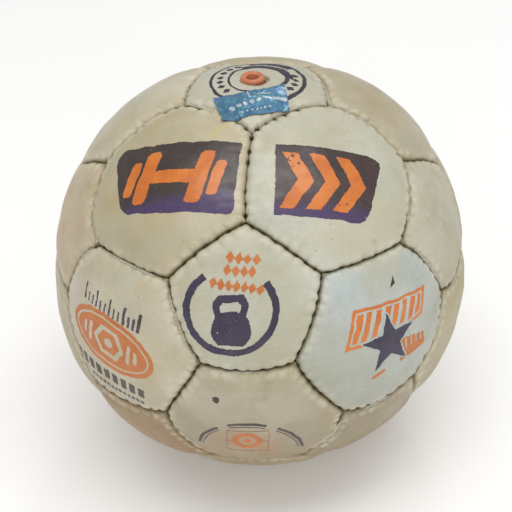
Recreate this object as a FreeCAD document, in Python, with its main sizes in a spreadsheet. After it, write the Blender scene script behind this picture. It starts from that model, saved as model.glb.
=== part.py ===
"""Parametric model of a hand-stitched, inflated leather medicine ball.

Millimetres, +Z up, origin at the ball's centre. The valve panel's centre is on +Z, and one of
that pentagon's corners points to -Y, so a pentagon also faces the front, 63.4 degrees from +Z.

The cover is a truncated icosahedron: 12 pentagons and 20 hexagons that share one edge length.
Every panel is a spherical polygon of leather with its edges turned in as a stitching flange, and
a woven lining glued behind it, inside the flange. The panels are saddle stitched flange to
flange, with the thread running along both sides of each seam and crossing through the leather.
Inside the cover is a heavy rubber bladder with a moulded valve stem, which comes out through a
punched hole in the valve panel. A rubber core with the needle hole is pushed into the stem.
"""
import FreeCAD, Part
import math
import os
from FreeCAD import Matrix, Placement, Rotation, Vector

OUT = "parts"
os.makedirs(OUT, exist_ok=True)
for stale in os.listdir(OUT):
    if stale.endswith(".step"):
        os.remove(os.path.join(OUT, stale))

doc = FreeCAD.newDocument("MedicineBall")

# ---------------------------------------------------------------- driving dimensions
# The angles are seen from the ball's centre. They follow from the truncated icosahedron and hold
# at any ball size.
EDGE_TO_RADIUS = 4.0 / math.sqrt(58.0 + 18.0 * math.sqrt(5.0))      # edge length over circumradius
PENTAGON_ANGLE = math.asin(EDGE_TO_RADIUS / (2.0 * math.sin(math.radians(36.0))))
HEXAGON_ANGLE = math.asin(EDGE_TO_RADIUS)
SEAM_ANGLE = 2.0 * math.degrees(math.asin(EDGE_TO_RADIUS / 2.0))


def side_tilt(angle, sides):
    """The angle between a panel's axis and the plane through one side and the ball's centre."""
    return math.atan(math.tan(angle) * math.cos(math.pi / sides))


ROWS = [
    ("ball_diameter", 220.0, "over the crowns of the panels"),
    ("leather_thickness", 2.4, "cover leather"),
    ("seam_gap", 0.3, "between two neighbouring panels"),
    ("flange_depth", 6.0, "from the crown to the inner edge of a turned-in flange"),
    ("flange_width", 2.0, "skived leather in the flange"),
    ("shoulder_radius", 2.0, "where the leather rolls over into the seam"),
    ("corner_radius", 2.6, "of a panel's corners"),
    ("pentagon_tilt", round(math.degrees(side_tilt(PENTAGON_ANGLE, 5)), 9), "degrees between a side and the panel's axis"),
    ("hexagon_tilt", round(math.degrees(side_tilt(HEXAGON_ANGLE, 6)), 9), "degrees between a side and the panel's axis"),
    ("wedge_size", 150.0, "side of the boxes that cut a panel out"),
    ("lining_thickness", 1.6, "plies of woven cotton"),
    ("lining_clearance", 0.05, "glue line behind the leather"),
    ("lining_inset", 2.6, "from the seam's middle to the lining's edge"),
    ("thread_diameter", 0.9, "waxed stitching cord"),
    ("thread_depth", 4.75, "from the crown to the thread's middle"),
    ("seam_angle", round(SEAM_ANGLE, 9), "degrees along one seam"),
    ("stitch_count", 7.0, "crossings in one seam"),
    ("bladder_diameter", 207.4, "outside of the bladder"),
    ("bladder_wall", 4.0, "heavy rubber wall"),
    ("valve_hole_diameter", 12.8, "punched through the leather"),
    ("lining_hole_diameter", 14.0, "through the lining"),
    ("stem_diameter", 12.0, "outside of the valve stem"),
    ("stem_top", 111.8, "height of the mouth over the ball's centre"),
    ("stem_bottom", 92.0, "lower end of the stem"),
    ("stem_flange_diameter", 34.0, "flange bonded to the bladder"),
    ("stem_flange_thickness", 1.5, "flange bonded to the bladder"),
    ("stem_bore_diameter", 6.1, "takes the valve core"),
    ("air_hole_diameter", 2.4, "below the core"),
    ("lip_radius", 1.5, "rolled rim of the mouth"),
    ("patch_diameter", 44.0, "cloth washer under the valve panel"),
    ("patch_thickness", 0.6, "cloth washer under the valve panel"),
    ("core_diameter", 6.0, "removable core"),
    ("core_top", 110.3, "top of the core over the ball's centre"),
    ("core_bottom", 98.0, "bottom of the core over the ball's centre"),
    ("needle_diameter", 2.1, "bore for the inflating needle"),
    ("needle_depth", 7.5, "from the core's top to the closed slit"),
    ("funnel_diameter", 3.8, "dimple that guides the needle"),
    ("funnel_depth", 1.2, "dimple that guides the needle"),
    ("label_length", 35.0, "foil label"),
    ("label_width", 18.0, "foil label"),
    ("label_thickness", 0.2, "foil label with its glue"),
]
sheet = doc.addObject("Spreadsheet::Sheet", "Dims")
for row, (alias, value, note) in enumerate(ROWS, start=1):
    sheet.set("A%d" % row, alias)
    sheet.set("B%d" % row, repr(value))
    sheet.set("C%d" % row, note)
    sheet.setAlias("B%d" % row, alias)
doc.recompute()


def dim(alias):
    return float(getattr(sheet, alias))


def D(text):
    """An expression in which every alias is read from the sheet."""
    for alias in sorted((r[0] for r in ROWS), key=len, reverse=True):
        text = text.replace("$" + alias, "<<Dims>>." + alias)
    return text


# ---------------------------------------------------------------- panel blanks
def ball(name, radius):
    """A sphere whose poles lie on Y and whose seam passes +X, clear of anything made around +Z."""
    s = doc.addObject("Part::Sphere", name)
    s.setExpression("Radius", D(radius))
    s.Placement = Placement(Vector(0, 0, 0), Rotation(Vector(1, 0, 0), 90))
    return s


def wedge(name, sides, shape, inset):
    """A tapered block whose sides run to the ball's centre, moved in by inset. It is what a ring
    of large boxes have in common, one box for each side of the panel."""
    boxes = []
    tilt = dim(shape + "_tilt")
    for k in range(sides):
        turn = 360.0 * (k + 0.5) / sides
        box = doc.addObject("Part::Box", "%s_side_%d" % (name, k + 1))
        box.setExpression("Length", D("$wedge_size"))
        box.setExpression("Width", D("$wedge_size"))
        box.setExpression("Height", D("$wedge_size"))
        box.Placement = Placement(Vector(0, 0, 0), Rotation(Vector(0, 0, 1), turn).multiply(Rotation(Vector(0, 1, 0), tilt)))
        back = "($wedge_size + %s)" % inset
        lean = "$%s_tilt * 1 deg" % shape
        at = "%.6f * 1 deg" % turn
        box.setExpression("Placement.Base.x", D("-%s * cos(%s) * cos(%s) + $wedge_size / 2 * sin(%s)" % (back, lean, at, at)))
        box.setExpression("Placement.Base.y", D("-%s * cos(%s) * sin(%s) - $wedge_size / 2 * cos(%s)" % (back, lean, at, at)))
        box.setExpression("Placement.Base.z", D("%s * sin(%s)" % (back, lean)))
        boxes.append(box)
    block = doc.addObject("Part::MultiCommon", name)
    block.Shapes = boxes
    doc.recompute()
    return block


def boolean(kind, name, base, tool):
    o = doc.addObject("Part::" + kind, name)
    o.Base = base
    o.Tool = tool
    return o


crown_ball = ball("crown_ball", "$ball_diameter / 2")
flesh_ball = ball("flesh_ball", "$ball_diameter / 2 - $leather_thickness")
tip_ball = ball("tip_ball", "$ball_diameter / 2 - $flange_depth")
lining_top_ball = ball("lining_top_ball", "$ball_diameter / 2 - $leather_thickness - $lining_clearance")
lining_low_ball = ball("lining_low_ball", "$ball_diameter / 2 - $leather_thickness - $lining_clearance - $lining_thickness")


def radius_of(point):
    return math.sqrt(point.x ** 2 + point.y ** 2 + point.z ** 2)


def is_radial(edge, r_out, r_low):
    """A straight edge that runs from the crown sphere down to the flange's inner edge."""
    if len(edge.Vertexes) != 2:
        return False
    a, b = sorted(radius_of(v.Point) for v in edge.Vertexes)
    return abs(a - r_low) < 0.01 and abs(b - r_out) < 0.01


def on_crown(edge, r_out):
    """An edge that lies on the crown sphere all along."""
    first, last = edge.ParameterRange
    return all(abs(radius_of(edge.valueAt(first + (last - first) * k / 4.0)) - r_out) < 0.01 for k in range(5))


def names_of(shape, test):
    return ["Edge%d" % k for k, e in enumerate(shape.Edges, start=1) if test(e)]


def panel_blank(shape, sides):
    """One leather panel around +Z: a crowned shell with turned-in flanges and rolled shoulders."""
    outer = wedge(shape + "_outline", sides, shape, "$seam_gap / 2")
    inner = wedge(shape + "_inside", sides, shape, "$seam_gap / 2 + $flange_width")
    slab = boolean("Common", shape + "_slab", crown_ball, outer)
    ring = boolean("Cut", shape + "_ring", slab, tip_ball)
    hollow = boolean("Common", shape + "_hollow", flesh_ball, inner)
    shell = boolean("Cut", shape + "_shell", ring, hollow)
    doc.recompute()
    body = doc.addObject("PartDesign::Body", shape + "_blank")
    body.BaseFeature = shell
    doc.recompute()
    base = body.Tip
    r_out = dim("ball_diameter") / 2
    corners = body.newObject("PartDesign::Fillet", shape + "_corners")
    found = names_of(base.Shape, lambda e: is_radial(e, r_out, r_out - dim("flange_depth")))
    assert len(found) == sides, (shape, "corner edges", len(found))
    corners.Base = (base, found)
    corners.setExpression("Radius", D("$corner_radius"))
    doc.recompute()
    shoulder = body.newObject("PartDesign::Fillet", shape + "_shoulder")
    found = names_of(corners.Shape, lambda e: on_crown(e, r_out))
    assert len(found) == 2 * sides, (shape, "crown edges", len(found))
    shoulder.Base = (corners, found)
    shoulder.setExpression("Radius", D("$shoulder_radius"))
    body.Tip = shoulder
    doc.recompute()
    return body


def lining_blank(shape, sides):
    """The lining behind one panel: a thin spherical polygon inside the flanges."""
    outline = wedge(shape + "_lining_outline", sides, shape, "$lining_inset")
    plate = boolean("Common", shape + "_lining_plate", lining_top_ball, outline)
    blank = boolean("Cut", shape + "_lining_blank", plate, lining_low_ball)
    doc.recompute()
    return blank


pentagon = panel_blank("pentagon", 5)
hexagon = panel_blank("hexagon", 6)
pentagon_lining = lining_blank("pentagon", 5)
hexagon_lining = lining_blank("hexagon", 6)


# ---------------------------------------------------------------- layout of the cover
def unit(v):
    return Vector(v).normalize()


def make_poles():
    """The twelve pentagon centres: +Z, five above the middle, five below it, and -Z."""
    lean = math.atan(2.0)
    found = [Vector(0, 0, 1)]
    for start, side in ((-90.0, 1.0), (-54.0, -1.0)):
        for k in range(5):
            turn = math.radians(start + 72.0 * k)
            found.append(Vector(math.sin(lean) * math.cos(turn), math.sin(lean) * math.sin(turn), side * math.cos(lean)))
    return found + [Vector(0, 0, -1)]


POLES = make_poles()
NEAR = math.radians(70.0)


def neighbours(i):
    return [j for j in range(12) if j != i and POLES[i].getAngle(POLES[j]) < NEAR]


def corner(i, j):
    """The corner of pentagon i that points to pentagon j."""
    return unit(POLES[i] * 2.0 + POLES[j])


def from_top(triple):
    """Sorts hexagons from the top down, and each level anticlockwise from the front."""
    c = POLES[triple[0]] + POLES[triple[1]] + POLES[triple[2]]
    turn = math.degrees(math.atan2(c.y, c.x)) + 90.5
    return (round(-c.z, 3), round(turn % 360.0, 2))


HEXAGONS = sorted(
    {tuple(sorted((i, j, k))) for i in range(12) for j in neighbours(i) for k in neighbours(i) if j != k and k in neighbours(j)},
    key=from_top,
)
assert len(HEXAGONS) == 20


def aim(z_axis, x_hint):
    """The placement that turns +Z to z_axis and +X towards x_hint."""
    z = unit(z_axis)
    x = unit(x_hint - z * x_hint.dot(z))
    y = z.cross(x)
    m = Matrix(x.x, y.x, z.x, 0, x.y, y.y, z.y, 0, x.z, y.z, z.z, 0, 0, 0, 0, 1)
    return Placement(m)


PENTAGON_PLACES = [aim(POLES[i], corner(i, neighbours(i)[0])) for i in range(12)]
PENTAGON_PLACES[0] = aim(POLES[0], corner(0, 1))
HEXAGON_PLACES = [aim(POLES[i] + POLES[j] + POLES[k], corner(i, j)) for i, j, k in HEXAGONS]

# Sixty seams join a pentagon and a hexagon, and thirty join two hexagons.
SHORT = []
for i in range(12):
    ring = neighbours(i)
    for a in ring:
        for b in ring:
            if a < b and b in neighbours(a):
                SHORT.append((corner(i, a), corner(i, b)))
LONG = [(corner(i, j), corner(j, i)) for i in range(12) for j in neighbours(i) if i < j]
assert len(SHORT) == 60 and len(LONG) == 30

sub_parts = []


def copy_of(source, label, place):
    link = doc.addObject("App::Link", label)
    link.LinkedObject = source
    link.Label = label
    link.Placement = place
    return link


def group_of(label, members):
    group = doc.addObject("Part::Compound", label)
    group.Label = label
    group.Links = members
    sub_parts.append(group)
    return group


for i in range(1, 12):
    sub_parts.append(copy_of(pentagon, "pentagon_panel_%02d" % i, PENTAGON_PLACES[i]))
for n, place in enumerate(HEXAGON_PLACES, start=1):
    sub_parts.append(copy_of(hexagon, "hexagon_panel_%02d" % n, place))

# The valve panel is a pentagon with a punched hole.
valve_blank = copy_of(pentagon, "valve_panel_blank", PENTAGON_PLACES[0])
punch = doc.addObject("Part::Cylinder", "valve_punch")
punch.setExpression("Radius", D("$valve_hole_diameter / 2"))
punch.setExpression("Height", D("$wedge_size"))
valve_panel = boolean("Cut", "valve_panel", valve_blank, punch)
sub_parts.append(valve_panel)

# Linings.
group_of("pentagon_linings", [copy_of(pentagon_lining, "pentagon_lining_%02d" % i, PENTAGON_PLACES[i]) for i in range(1, 12)])
group_of("hexagon_linings", [copy_of(hexagon_lining, "hexagon_lining_%02d" % n, p) for n, p in enumerate(HEXAGON_PLACES, start=1)])
valve_lining_blank = copy_of(pentagon_lining, "valve_lining_blank", PENTAGON_PLACES[0])
lining_punch = doc.addObject("Part::Cylinder", "lining_punch")
lining_punch.setExpression("Radius", D("$lining_hole_diameter / 2"))
lining_punch.setExpression("Height", D("$wedge_size"))
valve_lining = boolean("Cut", "valve_panel_lining", valve_lining_blank, lining_punch)
sub_parts.append(valve_lining)
doc.recompute()


# ---------------------------------------------------------------- stitching
def plane_of(body, role):
    return [f for f in body.Origin.OriginFeatures if f.Role == role][0]


def new_sketch(body, name, role):
    s = body.newObject("Sketcher::SketchObject", name)
    s.AttachmentSupport = [(plane_of(body, role), "")]
    s.MapMode = "FlatFace"
    doc.recompute()
    return s


def number(text):
    """The value of an expression, for drawing the profile before its constraints are bound."""
    plain = text
    for alias in sorted((r[0] for r in ROWS), key=len, reverse=True):
        plain = plain.replace("$" + alias, "(%r)" % dim(alias))
    return float(evaluate(plain))


def evaluate(text):
    """Works out a sum with FreeCAD's own expressions, on a scratch sheet cell."""
    scratch.set("A1", "=" + text)
    scratch.recompute()
    return scratch.get("A1")


scratch = doc.addObject("Spreadsheet::Sheet", "Working")


def bind(sketch, index, name, text):
    sketch.renameConstraint(index, name)
    sketch.setExpression("Constraints." + name, D(text))


import Sketcher  # noqa: E402  the constraints' module needs the document's modules above

def cord_section(sketch, x, y, radius):
    """The cord's six-sided section around (x, y), with every corner bound to the sheet."""
    corners = []
    for k in range(6):
        c, s = math.cos(math.radians(60 * k + 30)), math.sin(math.radians(60 * k + 30))
        corners.append(("(%s) + (%s) * (%.9f)" % (x, radius, c), "(%s) + (%s) * (%.9f)" % (y, radius, s)))
    values = [(number(cx), number(cy)) for cx, cy in corners]
    for k in range(6):
        (x1, y1), (x2, y2) = values[k], values[(k + 1) % 6]
        sketch.addGeometry(Part.LineSegment(Vector(x1, y1, 0), Vector(x2, y2, 0)), False)
    for k in range(6):
        sketch.addConstraint(Sketcher.Constraint("Coincident", k, 2, (k + 1) % 6, 1))
    for k, (cx, cy) in enumerate(corners):
        if values[k][0] >= 0:
            bind(sketch, sketch.addConstraint(Sketcher.Constraint("DistanceX", -1, 1, k, 1, values[k][0])), "x%d" % k, cx)
        else:
            bind(sketch, sketch.addConstraint(Sketcher.Constraint("DistanceX", k, 1, -1, 1, -values[k][0])), "x%d" % k, "-(%s)" % cx)
        bind(sketch, sketch.addConstraint(Sketcher.Constraint("DistanceY", -1, 1, k, 1, values[k][1])), "y%d" % k, cy)


# One seam, around +Z, with the seam's plane at y = 0. Two thread runs lie along the flanges'
# inner sides, and short crossings pass through both flanges.
SIDE = "($seam_gap / 2 + $flange_width + $thread_diameter / 2)"
THREAD_R = "($ball_diameter / 2 - $thread_depth)"
SPAN = "($seam_angle * ($stitch_count - 1) / $stitch_count)"
seam = doc.addObject("PartDesign::Body", "seam_blank")
run_sketch = new_sketch(seam, "run_section", "YZ_Plane")
cord_section(run_sketch, SIDE, THREAD_R, "$thread_diameter / 2")
doc.recompute()
run = seam.newObject("PartDesign::Revolution", "thread_run")
run.Profile = run_sketch
run.ReferenceAxis = (run_sketch, ["H_Axis"])
run.Midplane = True
run.setExpression("Angle", D(SPAN))
doc.recompute()
other_run = seam.newObject("PartDesign::Mirrored", "other_run")
other_run.Originals = [run]
other_run.MirrorPlane = (plane_of(seam, "XZ_Plane"), [""])
seam.Tip = other_run
doc.recompute()
cross_sketch = new_sketch(seam, "crossing_section", "XZ_Plane")
half = "%s / 2 * 1 deg" % SPAN
cord_section(cross_sketch, "-%s * sin(%s)" % (THREAD_R, half), "%s * cos(%s)" % (THREAD_R, half), "$thread_diameter / 2")
doc.recompute()
cross = seam.newObject("PartDesign::Pad", "thread_crossing")
cross.Profile = cross_sketch
cross.Midplane = True
cross.setExpression("Length", D("2 * %s" % SIDE))
doc.recompute()
crossings = seam.newObject("PartDesign::PolarPattern", "thread_crossings")
crossings.Originals = [cross]
crossings.Axis = (cross_sketch, ["N_Axis"])
crossings.setExpression("Angle", D(SPAN))
crossings.Occurrences = int(dim("stitch_count"))
seam.Tip = crossings
doc.recompute()
along = [v.Point.x for v in crossings.Shape.Vertexes]
if abs(max(along) + min(along)) > 0.5:
    crossings.Reversed = True
    doc.recompute()
along = [v.Point.x for v in crossings.Shape.Vertexes]
assert abs(max(along) + min(along)) < 0.5 and max(along) > 15.0, (min(along), max(along))


def seam_place(a, b):
    return aim(a + b, b - a)


group_of("pentagon_seam_thread", [copy_of(seam, "pentagon_seam_%02d" % n, seam_place(a, b)) for n, (a, b) in enumerate(SHORT, start=1)])
group_of("hexagon_seam_thread", [copy_of(seam, "hexagon_seam_%02d" % n, seam_place(a, b)) for n, (a, b) in enumerate(LONG, start=1)])
doc.recompute()


# ---------------------------------------------------------------- bladder and valve
def turned(name, points, arcs=(), fillets=()):
    """A body turned about Z from a closed profile in the XZ plane. points are (x, z) pairs of
    expressions, and arcs names the sides that are circles about the ball's centre."""
    body = doc.addObject("PartDesign::Body", name)
    s = new_sketch(body, name + "_profile", "XZ_Plane")
    values = [(number(x), number(z)) for x, z in points]
    for k, (x, z) in enumerate(values):
        x2, z2 = values[(k + 1) % len(values)]
        if k in arcs:
            r = math.hypot(x, z)
            a, b = math.atan2(z, x), math.atan2(z2, x2)
            circle = Part.Circle(Vector(0, 0, 0), Vector(0, 0, 1), r)
            s.addGeometry(Part.ArcOfCircle(circle, min(a, b), max(a, b)), False)
        else:
            s.addGeometry(Part.LineSegment(Vector(x, z, 0), Vector(x2, z2, 0)), False)

    def ends(k):
        """(start, end) point numbers of side k, in the order that the profile is walked."""
        if k in arcs:
            x, z = values[k]
            x2, z2 = values[(k + 1) % len(values)]
            return (1, 2) if math.atan2(z, x) < math.atan2(z2, x2) else (2, 1)
        return (1, 2)

    n = len(values)
    for k in range(n):
        s.addConstraint(Sketcher.Constraint("Coincident", k, ends(k)[1], (k + 1) % n, ends((k + 1) % n)[0]))
        if k in arcs:
            s.addConstraint(Sketcher.Constraint("Coincident", k, 3, -1, 1))
    for k, (x, z) in enumerate(points):
        before, here = (k - 1) % n in arcs, k in arcs
        p = ends(k)[0]
        if values[k][0] == 0:
            s.addConstraint(Sketcher.Constraint("PointOnObject", k, p, -2))
        else:
            bind(s, s.addConstraint(Sketcher.Constraint("DistanceX", -1, 1, k, p, values[k][0])), "x%d" % k, x)
        if here and before or (before and not here):
            continue                       # the arc that ends here already fixes the height
        if values[k][1] >= 0:
            bind(s, s.addConstraint(Sketcher.Constraint("DistanceY", -1, 1, k, p, values[k][1])), "z%d" % k, z)
        else:
            bind(s, s.addConstraint(Sketcher.Constraint("DistanceY", k, p, -1, 1, -values[k][1])), "z%d" % k, "-(%s)" % z)
    doc.recompute()
    turn = body.newObject("PartDesign::Revolution", name + "_turned")
    turn.Profile = s
    turn.ReferenceAxis = (s, ["V_Axis"])
    turn.Angle = 360.0
    doc.recompute()
    body.Tip = turn
    sub_parts.append(body)
    return body


R_B = "$bladder_diameter / 2"
R_BI = "($bladder_diameter / 2 - $bladder_wall)"
neck = "$stem_diameter / 2"


def on_sphere(radius, x):
    return "sqrt((%s)^2 - (%s)^2)" % (radius, x)


# Bladder: a heavy ball of rubber, open only at the neck, where the valve stem is bonded in.
bladder = turned(
    "bladder",
    [
        (neck, on_sphere(R_B, neck)),
        ("0", "-" + R_B),
        ("0", "-" + R_BI),
        (neck, on_sphere(R_BI, neck)),
    ],
    arcs=(0, 2),
)

# Valve stem: flange on the bladder, stem through the cover, and a mouth that stands proud.
R_F = "($bladder_diameter / 2 + $stem_flange_thickness)"
flange = "$stem_flange_diameter / 2"
bore = "$stem_bore_diameter / 2"
stem = turned(
    "valve_stem",
    [
        (neck, on_sphere(R_B, neck)),
        (flange, on_sphere(R_B, flange)),
        (flange, on_sphere(R_F, flange)),
        (neck, on_sphere(R_F, neck)),
        (neck, "$stem_top"),
        (bore, "$stem_top"),
        (bore, "$core_bottom - 0.2"),
        ("$air_hole_diameter / 2", "$core_bottom - 0.2"),
        ("$air_hole_diameter / 2", "$stem_bottom"),
        (neck, "$stem_bottom"),
    ],
    arcs=(0, 2),
)
lip = stem.newObject("PartDesign::Fillet", "valve_stem_lip")
top = dim("stem_top")
base_tip = [f for f in stem.Group if f.Name.startswith("valve_stem_turned")][0]
lip.Base = (base_tip, names_of(base_tip.Shape, lambda e: abs(e.BoundBox.ZMax - top) < 1e-3 and abs(e.BoundBox.ZMin - top) < 1e-3))
lip.setExpression("Radius", D("$lip_radius * 0.95"))
stem.Tip = lip
doc.recompute()

# Valve core: a plug with a guiding dimple and a needle bore that ends at a closed slit.
needle = "$needle_diameter / 2"
core = turned(
    "valve_core",
    [
        ("0", "$core_bottom"),
        ("$core_diameter / 2 - 0.8", "$core_bottom"),
        ("$core_diameter / 2", "$core_bottom + 0.8"),
        ("$core_diameter / 2", "$core_top - 0.3"),
        ("$core_diameter / 2 - 0.3", "$core_top"),
        ("$funnel_diameter / 2", "$core_top"),
        (needle, "$core_top - $funnel_depth"),
        (needle, "$core_top - $needle_depth"),
        ("0", "$core_top - $needle_depth"),
    ],
)

# Cloth patch between the valve's flange and the lining.
patch = "$patch_diameter / 2"
R_P = "($bladder_diameter / 2 + $stem_flange_thickness + 0.05)"
R_P2 = "($bladder_diameter / 2 + $stem_flange_thickness + 0.05 + $patch_thickness)"
hole = "$lining_hole_diameter / 2"
valve_patch = turned(
    "valve_patch",
    [
        (hole, on_sphere(R_P, hole)),
        (patch, on_sphere(R_P, patch)),
        (patch, on_sphere(R_P2, patch)),
        (hole, on_sphere(R_P2, hole)),
    ],
    arcs=(0, 2),
)

# ---------------------------------------------------------------- foil label
# A thin foil rectangle that lies on the ball beside the valve mouth and crosses one seam.
label_top = ball("label_top_ball", "$ball_diameter / 2 + 0.05 + $label_thickness")
label_low = ball("label_low_ball", "$ball_diameter / 2 + 0.05")
blank = doc.addObject("Part::Box", "label_blank")
blank.setExpression("Length", D("$label_length"))
blank.setExpression("Width", D("$label_width"))
blank.Height = 20.0
LABEL_CENTRE = Vector(0.9, -18.8, 108.4)
LABEL_TURN = 16.5
frame = aim(LABEL_CENTRE, Vector(1, 0, 0))
shift = Placement(Vector(-dim("label_length") / 2, -dim("label_width") / 2, dim("ball_diameter") / 2 - 10.0), Rotation())
blank.Placement = frame.multiply(Placement(Vector(0, 0, 0), Rotation(Vector(0, 0, 1), LABEL_TURN))).multiply(shift)
label_plate = boolean("Common", "label_plate", label_top, blank)
label = boolean("Cut", "foil_label", label_plate, label_low)
sub_parts.append(label)
doc.recompute()

# ---------------------------------------------------------------- checks and export
bad = [o.Name for o in doc.Objects if any(w in o.State for w in ("Invalid", "Error"))]
if bad:
    raise SystemExit("failed objects: %s" % bad)
assert run.Shape.Volume > 0 and crossings.Shape.Volume > other_run.Shape.Volume

total = 0.0
for part in sub_parts:
    shape = Part.getShape(part)
    if shape.isNull() or not shape.isValid() or not shape.Solids:
        raise SystemExit("bad shape: %s" % part.Label)
    solids = shape.Solids
    for s in solids:
        if not s.isClosed() or s.Volume <= 0:
            raise SystemExit("open or empty solid in %s" % part.Label)
    volume = sum(s.Volume for s in solids)
    total += volume
    out = solids[0] if len(solids) == 1 else Part.makeCompound(solids)
    out.exportStep(os.path.join(OUT, part.Label + ".step"))
    b = out.BoundBox
    print("%-26s solids %3d  volume %10.1f  z %.2f..%.2f" % (part.Label, len(solids), volume, b.ZMin, b.ZMax))
print("nodes %d, total volume %.0f mm3" % (len(sub_parts), total))
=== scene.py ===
import math

import bpy
import numpy as np
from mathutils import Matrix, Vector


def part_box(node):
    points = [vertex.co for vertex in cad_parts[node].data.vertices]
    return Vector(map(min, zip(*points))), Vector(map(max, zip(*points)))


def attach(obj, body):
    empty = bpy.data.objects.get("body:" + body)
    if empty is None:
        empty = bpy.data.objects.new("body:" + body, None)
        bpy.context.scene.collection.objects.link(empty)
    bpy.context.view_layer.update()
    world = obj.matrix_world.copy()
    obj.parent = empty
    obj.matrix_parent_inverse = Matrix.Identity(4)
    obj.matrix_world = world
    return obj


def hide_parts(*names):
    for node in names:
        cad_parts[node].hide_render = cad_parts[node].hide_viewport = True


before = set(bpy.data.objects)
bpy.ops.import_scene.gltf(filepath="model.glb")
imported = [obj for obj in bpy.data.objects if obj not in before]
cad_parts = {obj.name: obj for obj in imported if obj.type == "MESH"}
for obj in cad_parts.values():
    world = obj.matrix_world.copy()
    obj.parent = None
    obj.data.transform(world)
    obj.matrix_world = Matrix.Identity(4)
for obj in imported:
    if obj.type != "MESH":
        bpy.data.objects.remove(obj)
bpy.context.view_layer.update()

# ------------------------------------------------------------------------------------------------
# A hand-stitched leather medicine ball. Shapes are worked out in millimetres in the CAD frame
# (origin at the ball's centre, +Z out through the valve, -Y to the front) and stored in metres.
# ------------------------------------------------------------------------------------------------
MM = 0.001
R = round(-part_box("pentagon_panel_11")[0][2] * 1000.0, 1)          # crown radius, from the lowest panel
STEM_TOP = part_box("valve_stem")[1][2] * 1000.0
CORE_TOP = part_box("valve_core")[1][2] * 1000.0
CORE_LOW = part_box("valve_core")[0][2] * 1000.0
BALL, CORE = "ball", "valve_core"


def unit(v):
    v = np.asarray(v, float)
    return v / np.linalg.norm(v, axis=-1, keepdims=True)


# ---------------------------------------------------------------- layout of the 32 panels
def make_poles():
    lean = math.atan(2.0)
    out = [(0.0, 0.0, 1.0)]
    for start, side in ((-90.0, 1.0), (-54.0, -1.0)):
        for k in range(5):
            a = math.radians(start + 72.0 * k)
            out.append((math.sin(lean) * math.cos(a), math.sin(lean) * math.sin(a), side * math.cos(lean)))
    return np.array(out + [(0.0, 0.0, -1.0)])


POLES = make_poles()
NEAR = [[j for j in range(12) if j != i and POLES[i] @ POLES[j] > math.cos(math.radians(70.0))] for i in range(12)]


def corner(i, j):
    return unit(2.0 * POLES[i] + POLES[j])


def from_top(t):
    c = POLES[t[0]] + POLES[t[1]] + POLES[t[2]]
    return (round(-c[2], 3), round((math.degrees(math.atan2(c[1], c[0])) + 90.5) % 360.0, 2))


HEXES = sorted({tuple(sorted((i, j, k))) for i in range(12) for j in NEAR[i] for k in NEAR[i] if j != k and k in NEAR[j]}, key=from_top)

PANELS = []                      # (name, centre, [corner keys in order])
for i in range(12):
    c = POLES[i]
    x = unit(corner(i, NEAR[i][0]) - c * (corner(i, NEAR[i][0]) @ c))
    y = np.cross(c, x)
    ring = sorted(NEAR[i], key=lambda j: math.atan2(corner(i, j) @ y, corner(i, j) @ x) % (2 * math.pi - 1e-6))
    PANELS.append(("valve_panel" if i == 0 else "pentagon_panel_%02d" % i, c, [(i, j) for j in ring]))
for n, (i, j, k) in enumerate(HEXES, start=1):
    c = unit(POLES[i] + POLES[j] + POLES[k])
    keys = [(i, j), (j, i), (j, k), (k, j), (k, i), (i, k)]
    x = unit(corner(i, j) - c * (corner(i, j) @ c))
    y = np.cross(c, x)
    keys.sort(key=lambda q: math.atan2(corner(*q) @ y, corner(*q) @ x) % (2 * math.pi - 1e-6))
    PANELS.append(("hexagon_panel_%02d" % n, c, keys))
INDEX = {p[0]: n for n, p in enumerate(PANELS)}
HEX_OF = {t: "hexagon_panel_%02d" % n for n, t in enumerate(HEXES, start=1)}

EDGE_ANGLE = math.acos(float(corner(0, 1) @ corner(1, 0)))          # along one seam
STITCHES = 7
PITCH = EDGE_ANGLE / STITCHES


# ---------------------------------------------------------------- smooth random fields
def field(seed, wavelength, count=26, spread=0.45):
    """A smooth random field in space: a sum of plane waves of about one wavelength, in mm."""
    rng = np.random.default_rng(seed)
    k = rng.normal(size=(count, 3))
    k /= np.linalg.norm(k, axis=1)[:, None]
    k *= (2 * math.pi / (wavelength * (1 + spread * (rng.random(count) * 2 - 1))))[:, None]
    return k, rng.random(count) * 2 * math.pi


def wave(p, f):
    k, ph = f
    return np.sin(p @ k.T + ph).sum(1) / math.sqrt(len(ph) / 2.0)


F_ROLL = field(11, 46.0)
F_DENT = field(12, 17.0)
F_SKIN = field(13, 6.5, 34)
F_FINE = field(14, 3.2, 40)
F_WOB = [field(21 + a, 8.5, 30) for a in range(3)]
F_WEAR = field(31, 2.6, 48)
F_WEAR2 = field(32, 9.0, 30)
F_WEAR3 = field(33, 24.0, 30)

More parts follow.
